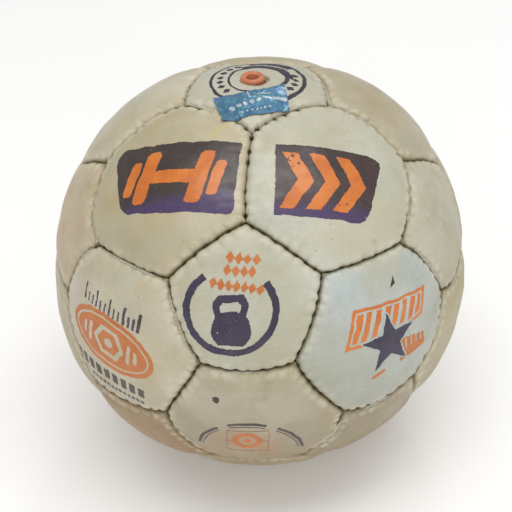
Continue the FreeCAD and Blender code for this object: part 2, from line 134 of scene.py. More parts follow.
# The ball is hand cut, so its seams run up to 3 mm off the regular layout. Each entry is a seam
# corner and the weight, in mm, of a smooth bump centred on it.
DRIFT = [
    ((0, 1), (-0.08, 0.98, 0.50)), ((1, 0), (0.02, -1.96, -0.91)), ((0, 2), (0.00, 0.25, -0.23)),
    ((0, 5), (2.90, 0.81, 1.09)), ((2, 0), (1.40, 0.74, -1.82)), ((2, 1), (-0.10, -0.95, -0.89)),
    ((1, 2), (-1.22, -0.30, 1.97)), ((2, 6), (0.57, 1.08, 1.55)), ((6, 1), (-0.39, -0.01, -0.23)),
    ((1, 6), (0.41, 1.04, 1.21)), ((1, 10), (-1.37, 0.24, -0.38)), ((10, 1), (1.97, -1.44, 0.70)),
    ((1, 5), (0.44, -0.26, -0.15)), ((5, 1), (-2.21, 0.83, -1.52)), ((5, 0), (-0.32, -1.55, -1.69)),
    ((0, 3), (2.02, -0.66, -0.83)), ((0, 4), (-1.84, -0.51, -0.31)), ((6, 2), (-0.16, 0.30, 1.27)),
    ((5, 10), (-1.64, 2.25, 0.43)), ((2, 3), (0.30, 1.27, 0.35)), ((5, 4), (0.73, 0.92, 1.31)),
    ((8, 3), (1.2, 0.6, -1.4)), ((3, 8), (-1.5, 0.2, 0.9)), ((4, 9), (0.9, 1.1, 1.2)),
    ((9, 8), (-0.8, 1.0, -1.6)), ((11, 7), (1.3, -0.9, 0.3)), ((7, 3), (-0.6, 1.4, 1.5)),
]
DRIFT_C = np.array([corner(*k) for k, _ in DRIFT])
DRIFT_W = np.array([w for _, w in DRIFT])
DRIFT_SIGMA = 0.42

# The blown-up panels also bow their seams outwards between the corners. Each entry is the two
# corners of a seam, the place along it, and the weight, in mm, of a narrower bump there.
BOWS = [
    (0, 1, 0, 2, 0.22, -0.38, -0.20, -0.03), (0, 1, 0, 2, 0.50, -1.51, 0.74, 0.44), (0, 1, 0, 2, 0.78, -2.39, 0.14, 0.67), (0, 1, 0, 5, 0.22, 0.31, 0.36, 0.14),
    (0, 1, 0, 5, 0.50, 1.30, 0.60, 0.37), (0, 1, 0, 5, 0.78, 2.26, -0.27, 0.56), (0, 1, 1, 0, 0.22, 0.32, -0.36, -0.17), (0, 1, 1, 0, 0.50, -0.56, -0.32, -0.20),
    (0, 1, 1, 0, 0.78, -0.88, -0.56, -0.44), (0, 2, 0, 3, 0.22, 1.45, -1.98, -0.50), (0, 2, 0, 3, 0.50, 2.04, -0.17, -0.56), (0, 2, 0, 3, 0.78, 1.81, 0.69, -0.58),
    (0, 2, 2, 0, 0.22, 0.82, 1.52, -0.15), (0, 2, 2, 0, 0.50, 0.46, 2.94, 0.29), (0, 2, 2, 0, 0.78, -1.21, 1.75, 1.33), (0, 4, 0, 5, 0.22, -1.44, 0.45, -0.44),
    (0, 4, 0, 5, 0.50, -1.79, -0.23, -0.48), (0, 4, 0, 5, 0.78, -1.77, -1.67, -0.60), (0, 5, 5, 0, 0.22, -0.50, 1.55, -0.00), (0, 5, 5, 0, 0.50, -0.26, 3.22, 0.46),
    (0, 5, 5, 0, 0.78, 1.68, 1.63, 1.65), (1, 0, 1, 2, 0.22, 1.02, -0.02, -0.13), (1, 0, 1, 2, 0.78, -0.67, 0.00, 0.31), (1, 0, 1, 5, 0.22, -0.13, 0.53, 0.54),
    (1, 0, 1, 5, 0.50, -0.25, 0.87, 0.96), (1, 0, 1, 5, 0.78, 0.42, 0.66, 1.10), (1, 2, 1, 6, 0.22, 0.79, 0.36, 0.15), (1, 2, 1, 6, 0.50, 0.97, 0.43, 0.36),
    (1, 2, 1, 6, 0.78, 1.46, 0.61, 0.93), (1, 2, 2, 1, 0.22, -0.15, -0.51, -0.62), (1, 2, 2, 1, 0.50, -0.17, -0.37, -0.33), (1, 2, 2, 1, 0.78, -0.30, -0.46, -0.21),
    (1, 5, 1, 10, 0.22, -1.17, 0.26, -0.30), (1, 5, 1, 10, 0.50, -1.22, 0.30, -0.17), (1, 5, 1, 10, 0.78, -1.14, 0.34, 0.22), (1, 5, 5, 1, 0.22, 0.63, -1.00, -0.95),
    (1, 5, 5, 1, 0.50, 0.56, -0.94, -0.70), (1, 5, 5, 1, 0.78, 1.35, -1.00, 0.34), (1, 6, 1, 10, 0.22, 0.45, -0.28, -1.87), (1, 6, 1, 10, 0.50, 0.29, -0.35, -1.94),
    (1, 6, 1, 10, 0.78, 0.35, -0.32, -1.54), (1, 6, 6, 1, 0.22, -1.79, -0.40, 0.64), (1, 6, 6, 1, 0.50, -1.56, -0.51, 0.65), (1, 6, 6, 1, 0.78, -1.12, -0.63, 1.80),
    (1, 10, 10, 1, 0.22, 0.72, -0.07, 1.13), (1, 10, 10, 1, 0.50, 0.55, -0.18, 1.37), (1, 10, 10, 1, 0.78, 1.00, -0.64, 2.35), (2, 0, 2, 1, 0.22, 0.79, -1.86, -1.55),
    (2, 0, 2, 1, 0.50, 1.52, -0.07, -1.64), (2, 0, 2, 1, 0.78, 0.06, -0.16, -0.21), (2, 1, 2, 6, 0.22, 0.11, 0.64, 0.62), (2, 1, 2, 6, 0.50, -0.07, 0.75, 1.30),
    (2, 1, 2, 6, 0.78, -0.51, 0.60, 2.88), (2, 6, 2, 7, 0.22, -0.52, -2.04, -2.11), (2, 6, 2, 7, 0.50, 0.27, -0.94, -3.06), (2, 6, 2, 7, 0.78, -0.07, 0.22, 0.61),
    (2, 6, 6, 2, 0.22, 0.87, 1.28, -0.45), (2, 6, 6, 2, 0.50, 1.83, 2.52, -0.92), (2, 6, 6, 2, 0.78, 1.62, 1.73, 1.60), (5, 0, 5, 1, 0.22, -1.21, -1.72, -1.90),
    (5, 0, 5, 1, 0.50, -2.24, 0.34, -2.15), (5, 0, 5, 1, 0.78, -1.38, 0.22, -1.41), (5, 1, 5, 10, 0.22, 0.20, 0.75, 1.24), (5, 1, 5, 10, 0.50, -0.30, 1.73, 1.99),
    (5, 1, 5, 10, 0.78, 1.27, -1.04, 2.03), (5, 10, 10, 5, 0.22, -0.94, 1.05, -2.39), (5, 10, 10, 5, 0.50, -0.49, 0.68, -1.54), (5, 10, 10, 5, 0.78, -0.03, 0.45, -2.71),
    (6, 1, 6, 2, 0.22, -0.83, -0.10, -1.84), (6, 1, 6, 2, 0.50, -1.14, -0.19, -2.90), (6, 1, 6, 2, 0.78, -2.00, -1.53, -1.30), (6, 1, 6, 10, 0.22, 2.14, 0.80, 0.26),
    (6, 1, 6, 10, 0.50, 2.54, 1.02, -0.33), (6, 1, 6, 10, 0.78, 1.99, 0.38, 0.39), (6, 10, 10, 6, 0.22, -2.35, -0.24, -0.12), (6, 10, 10, 6, 0.50, -0.02, 0.91, -1.47),
    (6, 10, 10, 6, 0.78, 2.34, -0.21, -0.17), (10, 1, 10, 5, 0.22, 1.32, -0.18, -2.80), (10, 1, 10, 5, 0.50, -0.06, 0.33, -1.32), (10, 1, 10, 5, 0.78, -1.72, 2.07, -2.03),
    (10, 1, 10, 6, 0.22, -2.00, 0.76, 0.17), (10, 1, 10, 6, 0.50, -2.57, 1.05, -0.37), (10, 1, 10, 6, 0.78, -1.96, 0.34, 0.45),
]
BOW_SIGMA = 0.15


def bow_centres():
    out = []
    for i, j, k, m, t, *_ in BOWS:
        a, b = corner(i, j), corner(k, m)
        w = math.acos(float(a @ b))
        out.append((math.sin((1 - t) * w) * a + math.sin(t * w) * b) / math.sin(w))
    return np.array(out)


BOW_C = bow_centres()
BOW_W = np.array([b[5:] for b in BOWS])


def bow(d):
    g = np.zeros_like(d)
    for c, w in zip(BOW_C, BOW_W):
        g += np.exp(-((d - c) ** 2).sum(1) / BOW_SIGMA ** 2)[:, None] * w[None]
    return g - d * (g * d).sum(1)[:, None]


def unbow(d):
    """The direction that bow() would carry to d, so that a print keeps its place on the ball."""
    out = d
    for _ in range(3):
        out = unit(d - bow(out) / R)
    return out


def drift(d):
    """Where a direction on the regular layout lies on this ball: d moved along the surface."""
    g = np.exp(-((d[:, None, :] - DRIFT_C[None]) ** 2).sum(2) / DRIFT_SIGMA ** 2) @ DRIFT_W + bow(d)
    p = d * R
    g = g + 0.16 * np.stack([wave(p, f) for f in F_WOB], 1)
    g -= d * (g * d).sum(1)[:, None]
    return unit(d + g / R)


# ---------------------------------------------------------------- seams
SEAM = {}


def seam_of(a, b):
    """The facts of the seam between two corners: how open it is, and each stitch's place and pull."""
    key = (a, b) if a < b else (b, a)
    if key not in SEAM:
        rng = np.random.default_rng(1000 + key[0][0] * 1733 + key[0][1] * 131 + key[1][0] * 17 + key[1][1])
        ends = {key[0][0], key[0][1], key[1][0], key[1][1]}
        near_valve = key[0][0] == 0 or key[1][0] == 0
        SEAM[key] = {
            "gap": (0.03 if near_valve else 0.08) * (0.8 + 0.5 * rng.random()),
            "slot": (0.36 if near_valve else 0.13) * (0.8 + 0.4 * rng.random()),
            "dash": 1.0 if near_valve else 0.0,
            "at": np.arange(STITCHES) - (STITCHES - 1) / 2 + rng.uniform(-0.13, 0.13, STITCHES),
            "pull": rng.uniform(0.55, 1.25, STITCHES),
            "long": rng.uniform(0.17, 0.26, STITCHES),
        }
        if near_valve:
            SEAM[key]["pull"][rng.integers(0, STITCHES)] *= 0.35
    return SEAM[key], key[0] == a


def stitch(u, a, b):
    """How strongly the thread pulls at u, in stitches from the middle of the seam from a to b."""
    s, forward = seam_of(a, b)
    u = u if forward else -u
    w = np.zeros_like(u)
    for at, pull, long in zip(s["at"], s["pull"], s["long"]):
        w = w + pull * np.exp(-((u - at) / long) ** 2)
    return w, s


class Panel:
    def __init__(self, name, centre, keys):
        self.name, self.c, self.keys = name, centre, keys
        self.corners = np.array([corner(*k) for k in keys])
        self.n = len(keys)
        nxt = np.roll(self.corners, -1, axis=0)
        self.normals = unit(np.cross(self.corners, nxt))            # point into the panel
        self.mids = unit(self.corners + nxt)
        self.along = unit(nxt - self.corners)
        self.x = unit(self.corners[0] - centre * (self.corners[0] @ centre))
        self.y = np.cross(centre, self.x)
        self.sin_in = float(self.normals[0] @ centre)

    def edge(self, k):
        return self.keys[k], self.keys[(k + 1) % self.n]

    def near(self, d):
        """For directions d: smooth distance to the nearest seam in mm, and the pull of its thread."""
        dist = R * (d @ self.normals.T)                             # (m, n)
        soft = 1.1
        m = dist.min(1)
        xs = m - soft * np.log(np.exp(-(dist - m[:, None]) / soft).sum(1))
        which = dist.argmin(1)
        pull = np.zeros(len(d))
        for k in range(self.n):
            sel = which == k
            if sel.any():
                u = np.arctan2(d[sel] @ self.along[k], d[sel] @ self.mids[k]) / PITCH
                pull[sel] = stitch(u, *self.edge(k))[0]
        return m, np.maximum(xs, 0.0), pull, which


PAN = [Panel(*p) for p in PANELS]


def surface_drop(pan, d, x, xs, pull):
    """How far the leather lies below the crown sphere, in mm, away from the rolled shoulder."""
    p = d * R
    pillow = 1.85 * np.exp(-xs / 3.5) + 1.15 * np.exp(-xs / 10.0)
    pucker = 0.46 * pull * np.exp(-x / 1.6) + 0.42 * pull * np.exp(-x / 5.0)
    bulge = -0.40 * np.clip(1.0 - pull, 0, 1) * np.exp(-((x - 2.1) / 1.8) ** 2)
    uneven = 0.16 * wave(p, F_ROLL) + 0.085 * wave(p, F_DENT) + 0.020 * wave(p, F_SKIN)
    edge_ripple = 0.035 * wave(p, F_FINE) * np.exp(-xs / 4.0)
    return pillow + pucker + bulge + uneven + edge_ripple - 0.08


# the ball is a little out of round: direction of each swelling and its height in mm
SWELL = [(0.991, -0.107, 0.078, -0.47), (0.933, 0.090, 0.349, 0.05), (0.763, 0.258, 0.593, 1.48),
         (0.503, 0.376, 0.779, 1.54), (0.183, 0.429, 0.884, -0.56), (-0.157, 0.413, 0.897, -0.26),
         (-0.477, 0.328, 0.816, 0.67), (-0.737, 0.184, 0.650, 0.41), (-0.908, 0.000, 0.419, 1.30),
         (-0.967, -0.203, 0.152, -0.46), (-0.909, -0.400, -0.120, 1.18), (-0.739, -0.567, -0.363, 1.98),
         (-0.479, -0.685, -0.549, 0.84), (-0.159, -0.739, -0.655, -0.33), (0.181, -0.722, -0.668, -0.12),
         (0.500, -0.637, -0.586, -0.29), (0.761, -0.494, -0.420, -0.15), (0.932, -0.310, -0.190, -0.10)]


def swell(d):
    """How far the leather stands out, in mm, from the true sphere."""
    out = np.zeros(len(d))
    for x, y, z, h in SWELL:
        out += h * np.exp(-((d - np.array([x, y, z])) ** 2).sum(1) / (2 * 0.24 ** 2))
    return np.maximum(out, -0.35)


def place(d, r):
    """Final points, in mm, for directions on the regular layout and radii. The ball stands on a small flat."""
    q = drift(d)
    p = q * (r + swell(q))[:, None]
    p[:, 2] += np.clip(-R + 0.12 - p[:, 2], 0, None) * (r > R - 1.5)
    return p


# ---------------------------------------------------------------- mesh helpers
def new_object(name, verts, faces, smooth=True):
    me = bpy.data.meshes.new(name)
    me.from_pydata((np.asarray(verts) * MM).tolist(), [], faces)
    me.update()
    if smooth:
        me.shade_smooth()
    ob = bpy.data.objects.new(name, me)
    bpy.context.scene.collection.objects.link(ob)
    return ob


def add_float(ob, name, values):
    at = ob.data.attributes.new(name, "FLOAT", "POINT")
    at.data.foreach_set("value", np.asarray(values, np.float32))


def strip(a, b, na, nb, flip=False):
    """Faces between two closed rings of na and nb points that start at a and b. nb is na, or half."""
    faces = []
    if na == nb:
        for i in range(na):
            j = (i + 1) % na
            faces.append((a + i, a + j, b + j, b + i))
    elif na == 2 * nb:
        for i in range(nb):
            j = (i + 1) % nb
            m = (2 * i + 1) % na
            e = (2 * i + 2) % na
            faces.append((a + 2 * i, a + m, b + i))
            faces.append((a + m, b + j, b + i))
            faces.append((a + m, a + e, b + j))
    elif nb == 2 * na:
        for f in strip(b, a, nb, na):
            faces.append(f[::-1])
    else:
        raise ValueError((na, nb))
    return [f[::-1] for f in faces] if flip else faces


FULL = 96                         # points along one seam at full density
ROUND = 2.3                       # corner radius of a panel, mm


def outline(pan):
    """Points of the panel's rounded outline on the plane that touches the unit sphere at its
    centre, FULL for each side, starting at the middle of a corner's arc, with the side of each."""
    pts, side = [], []
    r = ROUND / R
    flat = [np.array([c @ pan.x, c @ pan.y]) / (c @ pan.c) for c in pan.corners]
    n = pan.n
    half = math.pi / n                                              # half of the turn at a corner
    cut = r * math.tan(half)
    arc_n = 4
    for k in range(n):
        a, b = flat[k], flat[(k + 1) % n]
        t = (b - a) / np.linalg.norm(b - a)
        inward = np.array([-t[1], t[0]])
        ca, cb = a + t * cut + inward * r, b - t * cut + inward * r
        for m in range(arc_n):                                      # second half of the arc at a
            ang = half * (1.0 - m / arc_n)
            v = -inward * math.cos(ang) - t * math.sin(ang)
            pts.append(ca + r * v)
            side.append(k)
        straight = FULL - 2 * arc_n
        p0, p1 = a + t * cut, b - t * cut
        for m in range(straight + 1):
            pts.append(p0 + (p1 - p0) * (m / straight))
            side.append(k)
        for m in range(1, arc_n):                                   # first half of the arc at b
            ang = half * m / arc_n
            v = -inward * math.cos(ang) + t * math.sin(ang)
            pts.append(cb + r * v)
            side.append(k)
    return np.array(pts), np.array(side)


THICK = 2.4
DEPTH = 6.0
HOLE = 6.35


def build_panel(pan, hole=False):
    flat, side = outline(pan)
    total = len(flat)
    assert total == FULL * pan.n
    length2 = (flat ** 2).sum(1)

    def ring_dirs(step, x=None, depth=0.0, sigma=None):
        b = flat[::step]
        l2 = length2[::step]
        if sigma is None:
            s = np.ones(len(b))
            for _ in range(4):
                s = 1 - x * np.sqrt(1 + s * s * l2) / ((R - depth) * pan.sin_in)
        else:
            s = np.full(len(b), float(sigma))
        q = b * s[:, None]
        return q, side[::step]

    def lift(q):
        return unit(pan.c[None] + q[:, :1] * pan.x[None] + q[:, 1:] * pan.y[None])

    rings = []                    # (points, attribute rows, count)
    dash = np.zeros(total)

    def emit(points, xs, pull, depth, region):
        step = total // len(points)
        rings.append((points, np.stack([xs, pull, depth, dash[::step]], 1), len(points)))

    # per-sample pull of the thread and the seam's own opening, at full density
    d_edge = lift(flat)
    pull_edge = np.zeros(total)
    gap = np.zeros(total)
    for k in range(pan.n):
        sel = side == k
        u = np.arctan2(d_edge[sel] @ pan.along[k], d_edge[sel] @ pan.mids[k]) / PITCH
        w, s = stitch(u, *pan.edge(k))
        pull_edge[sel] = w
        fade = np.clip((STITCHES / 2 - np.abs(u)) / 0.45, 0, 1)
        fade = fade * fade * (3 - 2 * fade)
        gap[sel] = (s["gap"] + s["slot"] * w) * fade + 0.10 * (1 - fade)
        dash[sel] = s["dash"]
    roll = 1.15 + 0.30 * np.clip(pull_edge, 0, 1.2)

    def profile_ring(step, theta=0.0, wall=0.0, region=0):
        """One ring of the rolled shoulder, or of the seam wall below it (wall runs from 0 to 1)."""
        g, ro, pu = gap[::step], roll[::step], pull_edge[::step]
        x = (g + ro * (1 - math.cos(theta))) * (1 - wall) + 0.16 * wall
        h = ro * (1 - math.sin(theta))
        q, sd = ring_dirs(step, x=x, depth=float(h.mean()))
        d = lift(q)
        m, xs, _, _ = pan.near(d)
        depth = np.minimum(surface_drop(pan, d, x, xs, pu) + h, 5.62) * (1 - wall) + 5.78 * wall
        emit(place(d, R - depth), xs, pu, depth, region)

    # the outside, from the flange's tip up the seam wall, over the shoulder and to the middle
    tip_r = R - DEPTH
    order = []

    def wall_ring(step, x, r, region):
        q, sd = ring_dirs(step, x=np.full(len(flat[::step]), x), depth=R - r)
        d = lift(q)
        m, xs, _, _ = pan.near(d)
        emit(place(d, np.full(len(d), r)), xs, np.zeros(len(d)), np.full(len(d), R - r), region)

    # inner face, from the middle outwards
    r_in = R - THICK - 0.45
    inner_sigmas = [0.09, 0.25, 0.45, 0.65, 0.82]
    if hole:
        inner_sigmas = [None, 0.42, 0.65, 0.82]
    for s in inner_sigmas:
        if s is None:
            continue
        q, sd = ring_dirs(8, sigma=s)
        d = lift(q)
        m, xs, _, _ = pan.near(d)
        emit(place(d, np.full(len(d), r_in)), xs, np.zeros(len(d)), np.full(len(d), THICK), 3)
    wall_ring(8, 3.4, r_in, 3)
    wall_ring(8, 2.5, r_in - 0.25, 3)
    wall_ring(8, 2.15, r_in - 1.0, 3)
    wall_ring(8, 2.10, tip_r + 0.9, 3)
    wall_ring(8, 1.95, tip_r + 0.25, 3)
    wall_ring(8, 1.55, tip_r, 3)
    wall_ring(8, 0.60, tip_r, 3)
    wall_ring(8, 0.25, tip_r + 0.2, 3)
    profile_ring(4, wall=0.85)
    profile_ring(2, wall=0.6)
    profile_ring(1, wall=0.38)
    profile_ring(1, wall=0.16)
    steps = 9
    for m in range(steps):
        profile_ring(1, theta=math.pi / 2 * (m / steps) ** 0.9, region=0)

    def top_ring(step, x=None, sigma=None):
        pu = pull_edge[::step]
        if x is not None:
            xx = gap[::step] * math.exp(-(x - 1.2) / 2.0) + x
            q, sd = ring_dirs(step, x=xx)
        else:
            q, sd = ring_dirs(step, sigma=sigma)
        d = lift(q)
        m, xs, pl, _ = pan.near(d)
        drop = surface_drop(pan, d, m, xs, pl)
        emit(place(d, R - drop), xs, pl, drop, 0)

    for x in (1.42, 1.75, 2.15, 2.6, 3.15):
        top_ring(1, x=x)
    for x in (3.9, 4.6, 5.4, 6.3, 7.3):
        top_ring(2, x=x)
    inradius = R * math.tan(math.asin(pan.sin_in))
    start = 1 - 8.4 / inradius
    if hole:
        # the rings turn from the panel's outline into the round edge of the punched hole
        ang = np.arctan2(flat[:, 1], flat[:, 0])
        circ = np.stack([np.cos(ang), np.sin(ang)], 1)
        rows = 16
        for m in range(rows + 1):
            f = m / rows
            step = 4
            q = flat[::step] * start * (1 - f) + circ[::step] * ((HOLE + 0.25) / R) * f
            d = lift(q)
            mm_, xs, pl, _ = pan.near(d)
            away = np.linalg.norm(q, axis=1) * R - HOLE
            drop = surface_drop(pan, d, mm_, xs, pl) + 0.10 * np.exp(-away / 2.5) + 0.38 * np.exp(-away / 0.35)
            emit(place(d, R - drop), xs, pl, drop, 0)
        for rad, dep in ((HOLE + 0.02, 0.95), (HOLE, 1.6), (HOLE, 2.4)):
            step = 4
            d = lift(circ[::step] * rad / R)
            emit(place(d, np.full(len(d), R - dep - 0.45)), np.full(len(d), 20.0), np.zeros(len(d)), np.full(len(d), dep), 2)
    else:
        sig = start
        # spacing near 1.6 mm at first and wider near the middle, halving the points as it narrows
        sigmas, s = [], start
        while s * inradius > 1.2:
            sigmas.append(s)
            s -= (1.55 if s > 0.45 else 1.9) / inradius
        for s in sigmas:
            step = 4 if s > 0.42 else (8 if s > 0.2 else (16 if s > 0.09 else 32))
            top_ring(step, sigma=s)

    verts = np.concatenate([r[0] for r in rings])
    rows = np.concatenate([r[1] for r in rings])
    starts = np.cumsum([0] + [r[2] for r in rings])
    faces = []
    for k in range(len(rings) - 1):
        faces += strip(int(starts[k]), int(starts[k + 1]), rings[k][2], rings[k + 1][2])
    extra_v, extra_r = [], []
    if hole:
        # close the tube of rings: last (hole wall's foot) to first (inner face)
        na, nb = rings[-1][2], rings[0][2]
        faces += strip(int(starts[-2]), 0, na, nb)
    else:
        mid_out = len(verts)
        d = pan.c[None]
        m, xs, pl, _ = pan.near(d)
        extra_v.append(place(d, R - surface_drop(pan, d, m, xs, pl))[0])
        extra_r.append((xs[0], 0, 0.3, 0))
        a, n = int(starts[-2]), rings[-1][2]
        faces += [(a + i, a + (i + 1) % n, mid_out) for i in range(n)]
        extra_v.append(place(d, np.array([r_in]))[0])
        extra_r.append((xs[0], 0, THICK, 3))
        n = rings[0][2]
        faces += [((i + 1) % n, i, mid_out + 1) for i in range(n)]
    if extra_v:
        verts = np.concatenate([verts, np.array(extra_v)])
        rows = np.concatenate([rows, np.array(extra_r)])
    ob = new_object("leather_" + pan.name, verts, faces)
    add_float(ob, "seam_mm", np.clip(rows[:, 0], 0, 40))
    add_float(ob, "pull", rows[:, 1])
    add_float(ob, "sunk_mm", rows[:, 2])
    add_float(ob, "dash", rows[:, 3])
    return ob


# ---------------------------------------------------------------- node helpers
class Graph:
    """Short hands for a material's node tree."""

    def __init__(self, name):
        self.mat = bpy.data.materials.new(name)
        self.mat.use_nodes = True
        self.t = self.mat.node_tree
        self.t.nodes.clear()
        self.out = self.node("ShaderNodeOutputMaterial")
        self.bsdf = self.node("ShaderNodeBsdfPrincipled")
        self.link(self.bsdf.outputs[0], self.out.inputs[0])
        self.coord = self.node("ShaderNodeTexCoord").outputs["Object"]

    def node(self, kind, **props):
        n = self.t.nodes.new(kind)
        for k, v in props.items():
            setattr(n, k, v)
        return n

    def link(self, a, b):
        self.t.links.new(a, b)

    def put(self, socket, value):
        if hasattr(value, "links") or isinstance(value, bpy.types.NodeSocket):
            self.link(value, socket)
        else:
            socket.default_value = value

    def attr(self, name):
        return self.node("ShaderNodeAttribute", attribute_name=name).outputs["Fac"]

    def noise(self, mm, detail=3.0, rough=0.55, offset=(0, 0, 0), distort=0.0, stretch=(1, 1, 1)):
        m = self.node("ShaderNodeMapping")
        m.inputs["Location"].default_value = offset
        m.inputs["Scale"].default_value = stretch
        self.link(self.coord, m.inputs["Vector"])
        n = self.node("ShaderNodeTexNoise")
        n.inputs["Scale"].default_value = 1000.0 / mm
        n.inputs["Detail"].default_value = detail
        n.inputs["Roughness"].default_value = rough
        n.inputs["Distortion"].default_value = distort
        self.link(m.outputs[0], n.inputs["Vector"])
        return n.outputs["Fac"]

    def voronoi(self, mm, feature="F1", offset=(0, 0, 0), out="Distance", random=1.0):
        m = self.node("ShaderNodeMapping")
        m.inputs["Location"].default_value = offset
        self.link(self.coord, m.inputs["Vector"])
        n = self.node("ShaderNodeTexVoronoi", feature=feature)
        n.inputs["Scale"].default_value = 1000.0 / mm
        n.inputs["Randomness"].default_value = random
        self.link(m.outputs[0], n.inputs["Vector"])
        return n.outputs[out]

    def ramp(self, fac, lo, hi, a=0.0, b=1.0, smooth=True):
        n = self.node("ShaderNodeMapRange", interpolation_type="SMOOTHSTEP" if smooth else "LINEAR")
        n.clamp = True
        self.put(n.inputs["Value"], fac)
        n.inputs["From Min"].default_value = lo
        n.inputs["From Max"].default_value = hi
        n.inputs["To Min"].default_value = a
        n.inputs["To Max"].default_value = b
        return n.outputs[0]

    def math(self, op, a, b=0.0, clamp=False):
        n = self.node("ShaderNodeMath", operation=op)
        n.use_clamp = clamp
        self.put(n.inputs[0], a)
        self.put(n.inputs[1], b)
        return n.outputs[0]

    def mix(self, fac, a, b, mode="MIX"):
        n = self.node("ShaderNodeMix", data_type="RGBA", blend_type=mode)
        self.put(n.inputs[0], fac)
        for s, v in ((n.inputs[6], a), (n.inputs[7], b)):
            if isinstance(v, tuple):
                v = (*v, 1.0) if len(v) == 3 else v
            self.put(s, v)
        return n.outputs[2]

    def bump(self, height, distance_mm, strength=1.0, normal=None):
        n = self.node("ShaderNodeBump")
        n.inputs["Strength"].default_value = strength
        n.inputs["Distance"].default_value = distance_mm * MM
        self.put(n.inputs["Height"], height)
        if normal is not None:
            self.link(normal, n.inputs["Normal"])
        return n.outputs[0]

    def set(self, **values):
        for k, v in values.items():
            name = {"Base": "Base Color", "Rough": "Roughness", "Spec": "Specular IOR Level", "Coat": "Coat Weight", "CoatRough": "Coat Roughness",
                    "Sheen": "Sheen Weight", "SheenRough": "Sheen Roughness", "Metal": "Metallic", "Normal": "Normal", "IOR": "IOR", "Aniso": "Anisotropic"}[k]
            if isinstance(v, tuple) and len(v) == 3:
                v = (*v, 1.0)
            self.put(self.bsdf.inputs[name], v)
        return self.mat


def srgb(r, g, b):
    return tuple(((c / 255.0) / 12.92 if c / 255.0 <= 0.04045 else ((c / 255.0 + 0.055) / 1.055) ** 2.4) for c in (r, g, b))


